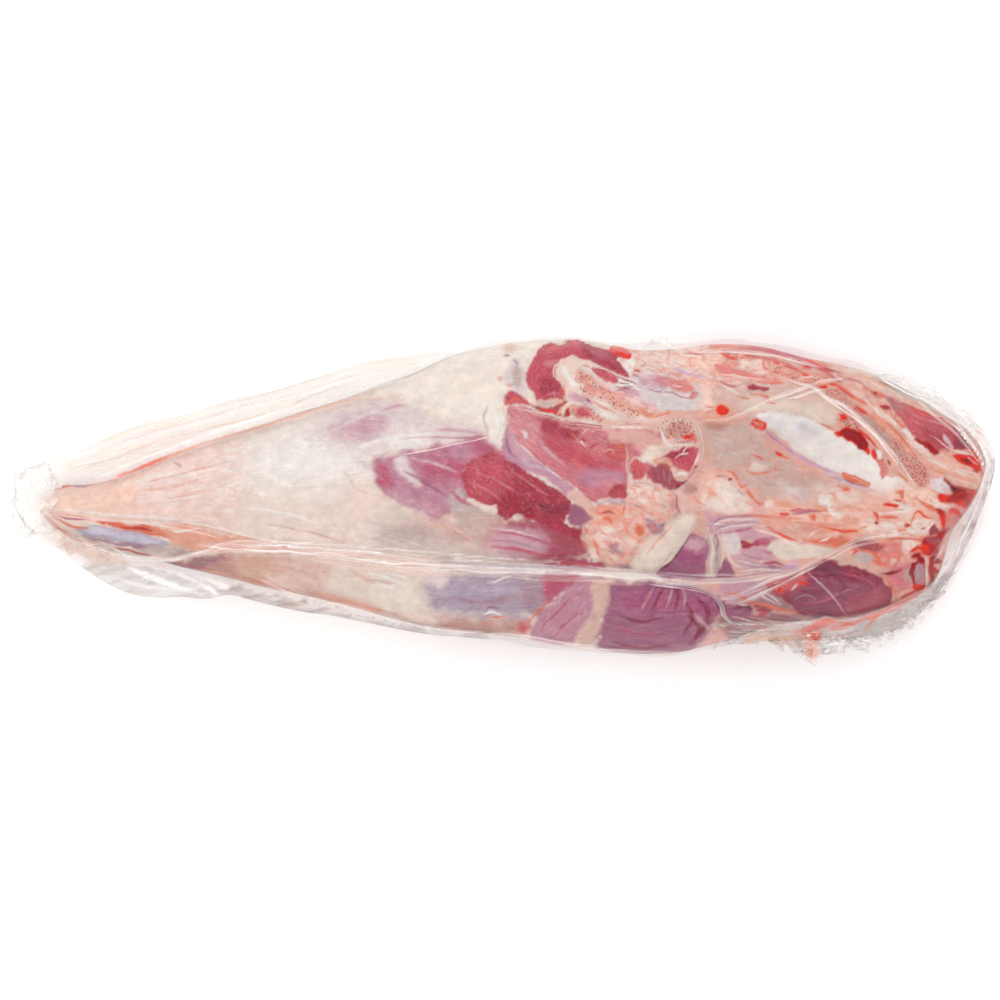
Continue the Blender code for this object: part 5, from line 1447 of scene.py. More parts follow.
# Creases where the film gathers into folds, seen as bundles of fine stained strands and of white strands
# that are painted highlights: width, share of strands that show, height of their ridges, looks of the
# strands, path.
CREASES = """
6.4 0.9 0.5 white_film salmon_film white_film orange_film  -152,-23.4 -140,-22.4 -125,-22.6 -110,-23.4
    -95,-24.6 -80,-26.6 -60,-28.8 -40,-31 -20,-32.6
5.4 0.85 0.5 white_film lavender_film brown_film white_film  -34,-31.4 -16,-32.8 0,-33.6 30,-34.8
    60,-36.2 80,-38.4 105,-40 125,-38.6 146,-34.4
4.6 0.8 0.4 white_film salmon_film brown_film white_film  -100,-29 -70,-32.6 -40,-35 0,-37 40,-38.6
    75,-41.6
2.6 0.7 0.3 white_film salmon_film orange_film  -229,-6 -205,-9 -180,-10.6 -155,-15 -136,-20
3.2 0.9 0.4 white_film white_film salmon_film  -202,-25.4 -190,-28 -180,-29.6 -165,-29.6 -150,-27
    -135,-24.6 -120,-24.4 -104,-26
4 0.7 0.5 white_film milky_film brown_film white_film  110,-50 120,-47.4 135,-41.4 150,-35 165,-28
    178,-21.4 195,-19 212,-19.6
2.4 0.8 0.4 white_film brown_film  118,-52 132,-46.4 146,-39.6 158,-33
3 0.9 0.3 white_film salmon_film milky_film  101,40 117,40.8 127,45.6 138,51.6 148,55 158,57.6 172,61
1.4 1 0.3 glint_film white_film  134,49.4 142,52.6 150,55 156,57
1.4 1 0.2 glint_film white_film  143,50 149,52 155,54.4 162,56
1.8 1 0.3 glint_film white_film  140,62 148,59 156,56.6 164,51.4 174,45.4 182,38.4 190,31 197,22.6
    203,14.6 208,5.6
1.2 0.9 0.2 white_film glint_film  158,54 166,48.6 176,42 184,35 191,28 200,17
2.4 0.35 0.3 brown_film milky_film bloody_film salmon_film  2,47 14,45.2 25,42.6 40,39 55,38 74,38.6
2 0.7 0.3 white_film bloody_film  -50,22.6 -35,25.4 -20,28.6 -4,31.6
3 0.6 0.3 orange_film salmon_film white_film  -119,-40 -104,-46 -88,-50.6 -70,-55 -50,-60.6 -28,-65
    -8,-66.4
3 0.6 0.3 salmon_film white_film orange_film  -10,-66.6 10,-68.4 30,-72 60,-76 90,-76.4
3 0.8 0.4 white_film lavender_film brown_film  75,-42 95,-43.4 105,-46.4 110,-52 112,-58 116,-62
2.4 0.6 0.3 salmon_film white_film  -222,15 -193,21.6 -180,25 -160,32.4 -140,39 -120,45
2 0.6 0.3 white_film salmon_film  -224,18 -200,25.4 -180,32.6 -160,37.6 -140,43 -118,49
1.8 0.5 0.3 brown_film white_film  -140,36.6 -120,42.4 -100,50 -80,57 -62,63
2.2 0.7 0.3 white_film milky_film  -110,48 -90,55.4 -70,61.4 -50,66.4 -34,69
1.6 0.6 0.2 lavender_film white_film  -66,55 -55,58.4 -45,61.4 -35,64.6
3 0.7 0.3 white_film grey_film  -192,-32 -182,-35 -172,-39.6 -160,-43 -145,-46
2.4 0.6 0.3 brown_film white_film  -178,-33 -160,-39 -148,-43.4 -136,-47
2.4 0.6 0.3 white_film grey_film  -214,-30 -196,-38 -180,-44.4 -160,-46.6
2 0.6 0.3 salmon_film white_film  -222,-20 -206,-26 -190,-31 -174,-34
2.2 0.8 0.2 mauve_film white_film grey_film  -128,-46 -108,-50.4 -84,-55 -60,-60.4 -30,-66
2.2 0.6 0.3 white_film brown_film  96,73 112,74.6 128,74 146,70.4 160,66
1.6 0.6 0.3 white_film white_film  110,63 124,60.6 140,60 158,61.6
2.6 0.7 0.4 white_film lavender_film brown_film  190,61 202,55 214,49.6 226,42.6 238,34
1.6 0.7 0.3 white_film brown_film  206,52 218,42 230,31 240,18
1.4 0.7 0.3 brown_film white_film  226,42 233,33 241,22
1.4 0.7 0.3 white_film brown_film  216,32 226,25 238,22.4
1.2 0.3 0.2 salmon_film milky_film  60,33 74,27 84,20 90,10 94,-2
0.8 0.3 0.1 milky_film white_film  14,24 22,17 32,9 40,0
1.2 0.4 0.2 white_film salmon_film  128,-2 146,-4.4 164,-6.4 186,-6
1.8 0.6 0.3 white_film salmon_film  104,-12 120,-13 136,-17 152,-25
"""
# Edges pleated by many folds side by side: how many, their width, looks, the first and the last.
PLEATS = """
7 2.2 white_film lavender_film mauve_film salmon_film grey_film  233,-6 227,-24 216,-44 | 245,14 238,-16
    220,-50
5 2.6 white_film salmon_film bloody_film lavender_film  116,-62 140,-61.6 168,-62 194,-55 | 112,-70
    140,-69 170,-69 200,-60
"""

# Loose film crumpled at the rim: height of the crumple, its looks, inner edge, outer edge. They
# are the lower hem, its pointed tip, the upper hem, the nub over the thigh and the shank's loops.
CRUMPLES = """
4 flap_film grey_film lavender_film grey_film milky_film  104,-62 124,-60 146,-62 168,-60 188,-56
    206,-48 220,-38 | 106,-73 124,-72 141,-73.4 154,-80.6 160,-76 178,-74 196,-70 214,-55 228,-36
4 white_film grey_film salmon_film  146,-70 152,-71 160,-70 166,-70 | 150,-74 155,-81 159,-80 164,-73
2.2 milky_film grey_film white_film  186,62 198,56 212,50 226,43 238,35 | 190,63.6 202,60.4 216,56
    229,46 242,35
3 white_film grey_film  71,75 76,76.4 83,76.4 88,75 | 73,78 77,81.4 82,81 86,78
4 white_film salmon_film grey_film  -222,-14 -214,-17 -206,-19 -196,-22 | -220,-24 -212,-29 -204,-31
    -194,-33
"""
# Stains and folds of the crumpled rim, drawn as the haze is.
HEMS = """
area tan_film 2 0 0  124,-60 138,-60 150,-63 152,-74 140,-75 124,-74
line stained_film 1.2 1 0  126,-62 136,-66 146,-72
line brown_film 1 1 0  124,-66 134,-68 148,-68
line stained_film 1 1 0  140,-61 146,-64 152,-64
area stained_film 1.4 0 0  147,-66.6 154,-62 161,-59 170,-60 178,-60 184,-58 176,-63 170,-65.6 162,-64
    160,-70 157,-73 154,-70
area salmon_film 1.6 0 0  153,-70 158,-70 160,-77 157,-82 153,-81
line stained_film 0.9 0.8 0  155,-70 156,-76 154.6,-80
line stained_film 1 0.8 0  161,-62 166,-67 172,-69
line stained_film 3 1.4 0  176,-60.6 194,-55 215,-44
line stained_film 1.6 1.2 0  182,-65 188,-58.6 199,-51
line brown_film 1 1 0  166,-70 180,-68 196,-64 206,-58
line glint_film 1.2 0.8 0  176,-67 180,-69.6 184,-68
line glint_film 1 0.8 0  186,-54 192,-53.6 196,-53
line glint_film 1 0.8 0  158,-74 166,-72 174,-72
"""
STRAND_WIDTH = 0.24  # a crease has as many strands side by side as fit its width
CREASE_STEP = 1.3
PLEAT_SHARE = 0.6  # share of a pleat's strands that show
PLEAT_HEIGHT = 0.5
CRUMPLE_COLUMNS = 34
TAIL = ((-233, 1, 15), (14, 21.5, 12))  # middle and half sizes of the bunched tail


# ---------------------------------------------------------------- meshes


def ring_faces(rings, around):
    """The quads of a tube of rings, with a fan of triangles over each end."""
    i = np.arange(rings - 1)[:, None] * around
    j = np.arange(around)[None, :]
    k = (j + 1) % around
    quads = np.stack([i + j, i + around + j, i + around + k, i + k], axis=-1).reshape(-1, 4)
    first, last = rings * around, rings * around + 1
    tip = (rings - 1) * around
    return [
        *quads.tolist(),
        *((first, a, (a + 1) % around) for a in range(around)),
        *((last, tip + (a + 1) % around, tip + a) for a in range(around)),
    ]


def sheet_faces(rows, columns, start=0):
    """The quads of a sheet of rows and columns of points."""
    i = np.arange(rows - 1)[:, None] * columns + start
    j = np.arange(columns - 1)[None, :]
    quads = np.stack([i + j, i + j + 1, i + columns + j + 1, i + columns + j], axis=-1)
    return quads.reshape(-1, 4).tolist()


def new_piece(name, points_mm, faces, material, slot, **attributes):
    """Makes a smooth mesh piece from points in plan millimetres, and rides it on the frame."""
    mesh = bpy.data.meshes.new(name)
    points = (points_mm - np.array([*PLAN_MIDDLE, 0.0])) * MM
    mesh.from_pydata(points.tolist(), [], faces)
    mesh.shade_smooth()
    for key, values in attributes.items():
        kind, field = {3: ("FLOAT_VECTOR", "vector"), 4: ("FLOAT_COLOR", "color")}[values.shape[1]]
        layer = mesh.attributes.new(key, kind, "POINT")
        layer.data.foreach_set(field, values.astype(np.float32).ravel())
    mesh.materials.append(material)
    piece = bpy.data.objects.new(name, mesh)
    bpy.context.scene.collection.objects.link(piece)
    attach(piece, "root")
    piece.visible_shadow = slot != "film"  # film this thin throws no shadow
    return piece


def with_alpha(colours, alpha):
    """The colours with a fourth value, one for all or one for each."""
    alpha = np.broadcast_to(alpha, colours.shape[:-1])
    return np.concatenate([colours, alpha[..., None]], axis=-1)


# ---------------------------------------------------------------- the leg


@functools.lru_cache(maxsize=None)
def leg_form():
    """The plain form of the leg, ring by ring, and how far each point of the top is up the dome."""
    x = stations(LEG[0][0], LEG[-1][0], LEG_RINGS, MEATY_PULL)
    low, high, crown = (c[:, None] for c in along(LEG, x))
    mid, half = (low + high) / 2, (high - low) / 2
    rim = RIM_SHARE * crown
    v = even_shares(TOP_POINTS, DOME_SHARE, TOP_ROUNDNESS)[None, :]
    dome = np.sqrt(np.maximum(1 - np.abs(v) ** TOP_ROUNDNESS, 0))
    y = mid + half * v
    top = rim + (crown - rim) * dome + landform(x[:, None], y) * dome
    w = even_shares(BELLY_POINTS + 2, WALL_SHARE, SIDE_ROUNDNESS)[None, -2:0:-1]
    belly = np.sqrt(np.maximum(1 - np.abs(w) ** SIDE_ROUNDNESS, 0))
    flat = math.sqrt(1 - FLAT_SHARE**SIDE_ROUNDNESS)
    bottom = np.maximum(rim * np.maximum(1 - belly / flat, 0), LIFT)
    across = np.concatenate([y, mid + half * w], axis=1)
    height = np.concatenate([top, bottom], axis=1)
    around = across.shape[1]
    points = np.stack([np.repeat(x[:, None], around, axis=1), across, height], axis=-1)
    return points, dome[0]


def unrolled(form):
    """The skin of the rings laid out flat: length across, and for the belly the way to the rim
    and the ring and point of the top that mirror it in the rim."""
    steps = np.linalg.norm(np.diff(form[..., 1:], axis=1, append=form[:, :1, 1:]), axis=-1)
    run = np.cumsum(steps, axis=1) - steps
    girth, over = steps.sum(axis=1)[:, None], run[:, TOP_POINTS - 1 : TOP_POINTS]
    middle = (form[:, :1, 1] + form[:, TOP_POINTS - 1 : TOP_POINTS, 1]) / 2
    from_high, from_low = run[:, TOP_POINTS:] - over, girth - run[:, TOP_POINTS:]
    across = np.concatenate(
        [middle + run[:, :TOP_POINTS] - over / 2, middle + (from_low - from_high) / 2], axis=1
    )
    edge = np.minimum(from_high, from_low)
    twin = np.where(from_high < from_low, over - edge, edge)
    point = np.array([np.searchsorted(a, b) for a, b in zip(run[:, :TOP_POINTS], twin)])
    x = form[:, TOP_POINTS:, 0]
    sway = wander(x / 7, edge / 5, 41) * np.clip(edge / 5, 0, 1.6) * 5
    rings = form.shape[0]
    ring = np.arange(rings)[:, None] + sway * rings / (x[-1, 0] - x[0, 0])
    ring = np.clip(ring.astype(int), 0, rings - 1)
    return across, edge, (ring, np.minimum(point, TOP_POINTS - 1))


@functools.lru_cache(maxsize=None)
def dressed_leg():
    """The leg with its anatomy: points, tones, traits, grain and streaks."""
    form, dome = leg_form()
    rings, around = form.shape[:2]
    looks = tissue_looks()
    top = form[:, :TOP_POINTS].reshape(-1, 3)
    ax, ay = seen_from_above(*top.T)
    upper = Canvas(ax, ay, "cream_fascia", looks)
    upper.draw(LEG_TOP)
    across, edge, twin = unrolled(form)
    x, y = form[..., 0], across
    lower = Canvas(x[:, TOP_POINTS:].ravel(), y[:, TOP_POINTS:].ravel(), "cream_fascia", looks)
    lower.draw(LEG_UNDER)
    # The top's drawing is mirrored in the rim and gives way to the belly's along a ragged line.
    ragged = MIRRORED + MIRROR_RAGGED * wander(x[:, TOP_POINTS:] / 8, edge / 6, 42)
    below = ease((edge - ragged) / MIRROR_BLEND)[..., None]

    def joined(a, b, turned=True):
        a = a.reshape(rings, TOP_POINTS, -1)
        b = b.reshape(rings, around - TOP_POINTS, -1)
        return np.concatenate([a, mix(a[twin], b, below) if turned else b], axis=1)

    tone = joined(upper.tone, lower.tone)
    traits = joined(upper.traits, lower.traits)
    grain = joined(upper.grain, lower.grain, turned=False)
    rise = joined(upper.rise, lower.rise)[..., 0]
    fibre, pores, lobules = traits[..., 0], traits[..., 1], traits[..., 2]
    rise = rise + lobules * (0.5 * wander(x / 3.2, y / 3.2, 21) + 0.3 * wander(x / 1.6, y / 1.6, 22))
    rise += pores * 0.45 * wander(x / 1.1, y / 1.1, 23)
    rise += fibre * 0.22 * wander(grain[..., 0] / 9, grain[..., 1] / 1.6, 24)
    rise += 0.35 * wander(x / 9, y / 6, 25)
    # Relief stands straight out of the skin, and fades out round the widest line.
    around_next, around_last = np.roll(form, -1, axis=1), np.roll(form, 1, axis=1)
    tangent = around_next - around_last
    normal = np.stack([-tangent[..., 2], tangent[..., 1]], axis=-1)
    normal /= np.maximum(np.linalg.norm(normal, axis=-1, keepdims=True), 1e-6)
    fade = np.ones(around)
    fade[:TOP_POINTS] = np.sqrt(dome)
    fade[TOP_POINTS:] = BELLY_RELIEF
    ends = np.clip(np.minimum(x - x[0, 0], x[-1, 0] - x) / 6, 0, 1)
    points = form.copy()
    points[..., 1:] += normal * (rise * fade * ends)[..., None]
    points[..., 2] = np.maximum(points[..., 2], LIFT)
    return points, tone, traits, grain, joined(upper.streak, lower.streak)


def outward(points):
    """The unit normals of a tube of rings."""
    along_it = np.gradient(points, axis=0)
    around_it = np.roll(points, -1, axis=1) - np.roll(points, 1, axis=1)
    normals = np.cross(along_it, around_it)
    return normals / np.maximum(np.linalg.norm(normals, axis=-1, keepdims=True), 1e-9)


def capped(field):
    """The field with one more value at the middle of each end."""
    flat = field.reshape(-1, field.shape[-1])
    return np.vstack([flat, field[0].mean(axis=0), field[-1].mean(axis=0)])


# ---------------------------------------------------------------- the film

CELL = 0.75  # the heights of the film are held on a grid of this many millimetres
GRID_X = np.arange(-260, 261, CELL)
GRID_Y = np.arange(-95, 96, CELL)


def on_grid(field, x, y):
    """The grid's value at plan points, between its four nearest cells."""
    i = np.clip((np.asarray(x) - GRID_X[0]) / CELL, 0, len(GRID_X) - 1.001)
    j = np.clip((np.asarray(y) - GRID_Y[0]) / CELL, 0, len(GRID_Y) - 1.001)
    a, b = i.astype(int), j.astype(int)
    s, t = i - a, j - b
    return mix(
        mix(field[a, b], field[a + 1, b], s), mix(field[a, b + 1], field[a + 1, b + 1], s), t
    )


def pulled_tight(blocked, rest, held):
    """A stretched sheet that lies on what blocks it: rest outside, and pulled level inside."""
    sheet = np.where(held, blocked, rest)
    for _ in range(FILM_PULLS):
        level = (
            np.roll(sheet, 1, 0) + np.roll(sheet, -1, 0) + np.roll(sheet, 1, 1) + np.roll(sheet, -1, 1)
        ) / 4
        sheet = np.where(held, np.maximum(blocked, level), rest)
    return sheet


@functools.lru_cache(maxsize=None)
def film_heights():
    """Grids of the height of the film above and below, as it clings to the meat."""
    points = dressed_leg()[0]
    ring_x = points[:, 0, 0]
    low, high, rim = along(BAG, GRID_X)
    rim_grid = np.repeat(rim[:, None], len(GRID_Y), axis=1)
    above, below = rim_grid + WEB_GAP / 2, rim_grid - WEB_GAP / 2
    inside = (GRID_X > ring_x[0]) & (GRID_X < ring_x[-1])
    for c in np.nonzero(inside)[0]:
        i = np.searchsorted(ring_x, GRID_X[c]) - 1
        t = (GRID_X[c] - ring_x[i]) / (ring_x[i + 1] - ring_x[i])
        ring = mix(points[i], points[i + 1], t)
        over, under = ring[:TOP_POINTS], ring[TOP_POINTS:][::-1]
        y_over = np.maximum.accumulate(over[:, 1])
        top = np.interp(GRID_Y, y_over, over[:, 2], left=-1, right=-1)
        under = np.vstack([over[:1], under, over[-1:]])
        base = np.interp(GRID_Y, under[:, 1], under[:, 2], left=1e3, right=1e3)
        above[c] = np.maximum(above[c], top + FILM_GAP)
        below[c] = np.minimum(below[c], base - FILM_GAP)
    # A cell holds the highest meat around it, so that the film between cells never cuts the meat.
    for axis in (0, 1):
        above = np.maximum(above, np.maximum(np.roll(above, 1, axis), np.roll(above, -1, axis)))
        below = np.minimum(below, np.minimum(np.roll(below, 1, axis), np.roll(below, -1, axis)))
    y = GRID_Y[None, :]
    held = (y > low[:, None]) & (y < high[:, None])
    top = pulled_tight(above, rim_grid + WEB_GAP / 2, held)
    bottom = -pulled_tight(-below, -(rim_grid - WEB_GAP / 2), held)
    return top, np.maximum(bottom, 0.1)


def film_top(x, y):
    """The height of the film's upper side."""
    return on_grid(film_heights()[0], x, y)


def laid_on_film(path):
    """Plan points that the eye sees along a path, and the height of the film there."""
    x, y = path.T
    mx, my = PLAN_MIDDLE
    for _ in range(3):
        z = film_top(x, y)
        x, y = mx + (path[:, 0] - mx) / nearer(z), my + (path[:, 1] - my) / nearer(z)
    return x, y, z


def evenly(curve, step):
    """The curve's points at even steps along it, and how far along each is."""
    run = np.concatenate([[0], np.cumsum(np.linalg.norm(np.diff(curve, axis=0), axis=1))])
    at = np.linspace(0, run[-1], max(int(run[-1] / step), 4))
    return np.column_stack([np.interp(at, run, curve[:, 0]), np.interp(at, run, curve[:, 1])]), at


class Strips:
    """Gathers strips of film into one mesh."""

    def __init__(self):
        self.points, self.faces, self.film, self.count = [], [], [], 0

    def add(self, points, film):
        rows, columns = points.shape[:2]
        self.faces += sheet_faces(rows, columns, self.count)
        self.points.append(points.reshape(-1, 3))
        self.film.append(film.reshape(-1, 4))
        self.count += rows * columns

    def make(self, name):
        film = np.vstack(self.film)
        new_piece(name, np.vstack(self.points), self.faces, shrink_film(), "film", film=film)


def film_canvas(x, y, z):
    """A canvas of clear film over points in plan millimetres."""
    seen = seen_from_above(x.ravel(), y.ravel(), z.ravel())
    return Canvas(*seen, "clear_film", film_looks())


def looks_at(looks, index):
    """The colour and the haze of the look that each index names."""
    palette = film_looks()
    tones, hazes = zip(*(palette[look] for look in looks))
    return np.array(tones)[index], np.array(hazes)[index]


def crease(strips, width, looks, share, height, path, seed):
    """Lays one gathered fold on the film: fine strands side by side, each a ridge of its own."""
    curve, at = evenly(path, CREASE_STEP)
    side = np.gradient(curve, axis=0)
    side = np.column_stack([-side[:, 1], side[:, 0]])
    side /= np.linalg.norm(side, axis=1, keepdims=True)
    taper = np.sqrt(np.clip(np.minimum(at, at[-1] - at) / (3 + 0.12 * at[-1]), 0.02, 1))
    strands = max(int(width / STRAND_WIDTH), 8)
    across = np.linspace(-0.5, 0.5, strands)
    rng = np.random.default_rng(seed)
    pinch = 1 + 0.3 * wander(at / 11, np.full_like(at, seed), 31)
    sway = 0.5 * wander(at / 9, np.full_like(at, seed + 3.5), 32)
    offset = across[None, :] * width * (taper * pinch)[:, None] + sway[:, None]
    offset = offset + 0.16 * width * wander(at[:, None] / 14, across[None, :] * 4 + seed, 33)
    flat = curve[:, None, :] + side[:, None, :] * offset[..., None]
    x, y, z = laid_on_film(flat.reshape(-1, 2))
    x, y, z = (v.reshape(offset.shape) for v in (x, y, z))
    strand = across[None, :] * width / 0.62
    ridge = crinkle(at[:, None] / 26, strand + 7.7 * seed, 34)
    z = z + 0.25 + height * ridge * np.cos(np.pi * across)[None, :]
    tone, haze = looks_at(looks, rng.integers(0, len(looks), strands))
    # One strand in twelve is a painted glint: a bright white edge where the fold would catch the light.
    sharp = rng.random(strands) < 1 / 12
    tone[sharp], white = film_looks()["glint_film"]
    haze = np.where(sharp, white, haze * 0.6)
    shows = ease((wander(at[:, None] / 17, strand * 1.7 + 3.1 * seed, 35) + 2 * share - 0.75) * 2.4)
    edge = ease((0.5 - np.abs(across)) * 6)[None, :] * ease(taper * 1.6)[:, None]
    shows = np.where(sharp[None, :], 0.4 + 0.6 * shows, shows)
    alpha = haze[None, :] * shows * edge * (0.55 + 0.45 * ridge)
    tone = np.broadcast_to(tone[None], (*offset.shape, 3))
    strips.add(np.stack([x, y, z], axis=-1), with_alpha(tone, alpha))


def crumple(strips, looks, height, edges, seed):
    """Fills the strip between an inner and an outer edge with crumpled film."""
    a, b = (evenly(curve_through(edge), 1.0)[0] for edge in edges)
    rows = max(len(a), len(b)) + 8
    t = np.linspace(0, 1, rows)
    a = np.column_stack([np.interp(t, np.linspace(0, 1, len(a)), a[:, k]) for k in (0, 1)])
    b = np.column_stack([np.interp(t, np.linspace(0, 1, len(b)), b[:, k]) for k in (0, 1)])
    s = np.linspace(0, 1, CRUMPLE_COLUMNS)[None, :]
    run = t[:, None] * rows
    reach = 1 + 0.22 * wander(run / 4, np.zeros_like(run) + seed, 41)
    plan = a[:, None, :] + (b - a)[:, None, :] * (s * reach)[..., None]
    reach_mm = np.linalg.norm(b - a, axis=1)[:, None] * s
    creases = crinkle(run / 5.5 + 0.4 * wander(run / 9, reach_mm / 5, 43), reach_mm / 3.4, 42 + seed)
    ruffle = wander(run / 5, reach_mm / 4, 45 + seed)
    plan = plan + np.stack([ruffle, wander(run / 4, reach_mm / 4, 46)], axis=-1) * 0.8
    x, y, z = laid_on_film(plan.reshape(-1, 2))
    rim = np.interp(x, *(np.array(BAG, float)[:, k] for k in (0, 3)))
    hang = np.repeat(s, rows, axis=0).ravel()
    z = mix(z + 0.4, rim + 1.5, ease(hang * 1.4)) + height * (creases.ravel() - 0.3) * ease(hang * 3 + 0.2)
    z = np.maximum(z, 1.0)
    x, y, z = (v.reshape(creases.shape) for v in (x, y, z))
    pick = wander(run / 6, reach_mm / 2.2, 47 + seed) * 0.5 + 0.5
    tone, haze = looks_at(looks, np.clip((pick * len(looks)).astype(int), 0, len(looks) - 1))
    canvas = film_canvas(x, y, z)
    canvas.draw(HEMS)
    drawn, cover = canvas.tone.reshape(tone.shape), canvas.traits[:, 0].reshape(haze.shape)
    tone = mix(tone, drawn, ease(cover * 3)[..., None])
    haze = np.maximum(haze, cover)
    glint = ease((creases - 0.72) * 6)
    tone = mix(tone, np.ones(3), 0.8 * glint[..., None])
    alpha = haze * (0.3 + 0.6 * creases + 0.4 * glint) * ease(s * 5)
    strips.add(np.stack([x, y, z], axis=-1), with_alpha(tone, alpha))


# ---------------------------------------------------------------- materials


def add_node(material, kind, links=None, **settings):
    """Adds a shader node with its settings, its values and what feeds it: a socket, or a node,
    which stands for its first output."""
    node = material.node_tree.nodes.new("ShaderNode" + kind)
    for name, value in settings.items():
        setattr(node, name, value)
    for socket, value in (links or {}).items():
        if isinstance(value, bpy.types.Node):
            value = value.outputs[0]
        if isinstance(value, bpy.types.NodeSocket):
            material.node_tree.links.new(value, node.inputs[socket])
        else:
            node.inputs[socket].default_value = value
    return node


def new_material(name):
    """A material with no nodes yet."""
    material = bpy.data.materials.new(name)
    material.use_nodes = True
    material.node_tree.nodes.clear()
    return material


def finish_material(material, shader):
    """The material, with the shader on its output."""
    add_node(material, "OutputMaterial", {"Surface": shader})
    return material


@functools.lru_cache(maxsize=None)
def raw_meat():
    """Raw goat meat, dressed and chilled: wet muscle in fine bundles of fibre, dull creamy fat and
    fascia, and sawn bone with open pores. The eye sees fine streaks in the red, small dark holes
    in the bone, a lumpy softness in the fat, and a wet sheen that is stronger on the cut faces."""
    m = new_material("raw_goat_meat")
    tone = add_node(m, "Attribute", attribute_name="tone")
    traits = add_node(m, "Attribute", attribute_name="traits")
    split = add_node(m, "SeparateColor", {"Color": traits.outputs["Color"]})
    fibre, pores, lobules = split.outputs
    grain = add_node(m, "Attribute", attribute_name="grain")
    place = add_node(m, "TexCoord")
    # Bundles of fibre are about 1 mm thick and run for about 6 mm; grain is in millimetres.
    run = add_node(m, "Mapping", {"Vector": grain.outputs["Vector"], "Scale": (0.17, 0.95, 1)})
    streaks = add_node(m, "TexNoise", {"Vector": run, "Scale": 1.0, "Detail": 5.0, "Roughness": 0.7})
    # Bone pores are about 1.4 mm apart; place is in metres.
    holes = add_node(m, "TexVoronoi", {"Vector": place.outputs["Object"], "Scale": 700.0})
    pits = add_node(
        m, "MapRange", {"Value": holes.outputs["Distance"], "From Min": 0.16, "From Max": 0.44},
        interpolation_type="SMOOTHSTEP",
    )
    # Fat lobules are about 3 mm across.
    lumps = add_node(
        m, "TexVoronoi", {"Vector": grain.outputs["Vector"], "Scale": 0.33, "Smoothness": 1.0},
        feature="SMOOTH_F1", voronoi_dimensions="2D",
    )
    # Mottling as the tissue thickens and thins, over 1 to 12 mm.
    mottle = add_node(
        m, "TexNoise",
        {"Vector": place.outputs["Object"], "Scale": 160.0, "Detail": 6.0, "Roughness": 0.72},
    )
    patchy = add_node(
        m, "MapRange",
        {"Value": mottle.outputs["Fac"], "From Min": 0.3, "From Max": 0.7, "To Min": 0.84, "To Max": 1.1},
    )
    spotted = add_node(m, "VectorMath", {0: tone.outputs["Color"], "Scale": patchy}, operation="SCALE")
    # Fascia is drawn out along the leg, so it veils what is under it in long pale wisps.
    drawn = add_node(m, "Mapping", {"Vector": place.outputs["Object"], "Scale": (70, 420, 300)})
    wisps = add_node(m, "TexNoise", {"Vector": drawn, "Scale": 1.0, "Detail": 4.0, "Roughness": 0.65})
    pink, lilac, cream = add_node(m, "SeparateColor", {"Color": wisps.outputs["Color"]}).outputs
    shade = spotted
    dry = add_node(m, "Math", {0: 1.0, 1: traits.outputs["Alpha"]}, operation="SUBTRACT")
    for part, tint in ((pink, "F0A892"), (lilac, "C4B0C0"), (cream, "FAEFE6")):
        veil = add_node(m, "MapRange", {"Value": part, "From Min": 0.5, "From Max": 0.72, "To Max": 0.13})
        veil = add_node(m, "Math", {0: veil, 1: dry}, operation="MULTIPLY")
        shade = add_node(m, "Mix", {0: veil, 6: shade, 7: (*linear(tint), 1)}, data_type="RGBA").outputs[2]
    # Streaks lighten the silver between bundles and darken the gaps.
    streak = add_node(
        m, "MapRange",
        {
            "Value": streaks.outputs["Fac"],
            "From Min": 0.32, "From Max": 0.68, "To Min": 0.72, "To Max": 1.28,
        },
    )
    streaked = add_node(m, "VectorMath", {0: spotted, "Scale": streak}, operation="SCALE")
    plain = add_node(m, "Mix", {0: fibre, 6: shade, 7: streaked}, data_type="RGBA")
    # Cut fibres stand up in pale specks about 1.2 mm apart.
    dots = add_node(
        m, "TexNoise", {"Vector": grain.outputs["Vector"], "Scale": 0.8, "Detail": 3.0, "Roughness": 0.65},
    )
    speck = add_node(
        m, "MapRange", {"Value": dots.outputs["Fac"], "From Min": 0.56, "From Max": 0.72, "To Max": 0.36},
    )
    speck = add_node(m, "Math", {0: speck, 1: fibre}, operation="MULTIPLY")
    lean = add_node(m, "Mix", {0: speck, 6: plain.outputs[2], 7: (*linear("DC9FA2"), 1)}, data_type="RGBA")
    # Threads and seams wander by about 3 mm as they run along the grain.
    sway = add_node(m, "TexNoise", {"Vector": grain.outputs["Vector"], "Scale": 0.22, "Detail": 4.0})
    bent = add_node(
        m, "VectorMath", {0: sway.outputs["Color"], 1: (7, 5, 0), 2: grain.outputs["Vector"]},
        operation="MULTIPLY_ADD",
    )
    marks = add_node(m, "Attribute", attribute_name="streak")
    marked = add_node(m, "VectorMath", {0: marks.outputs["Vector"], "Scale": dry}, operation="SCALE")
    red, pale, speckle = add_node(m, "SeparateXYZ", {"Vector": marked}).outputs
    gaps = add_node(m, "TexNoise", {"Vector": bent, "Scale": 0.16, "Detail": 3.0})
    shown = add_node(m, "MapRange", {"Value": gaps.outputs["Fac"], "From Min": 0.42, "From Max": 0.6})
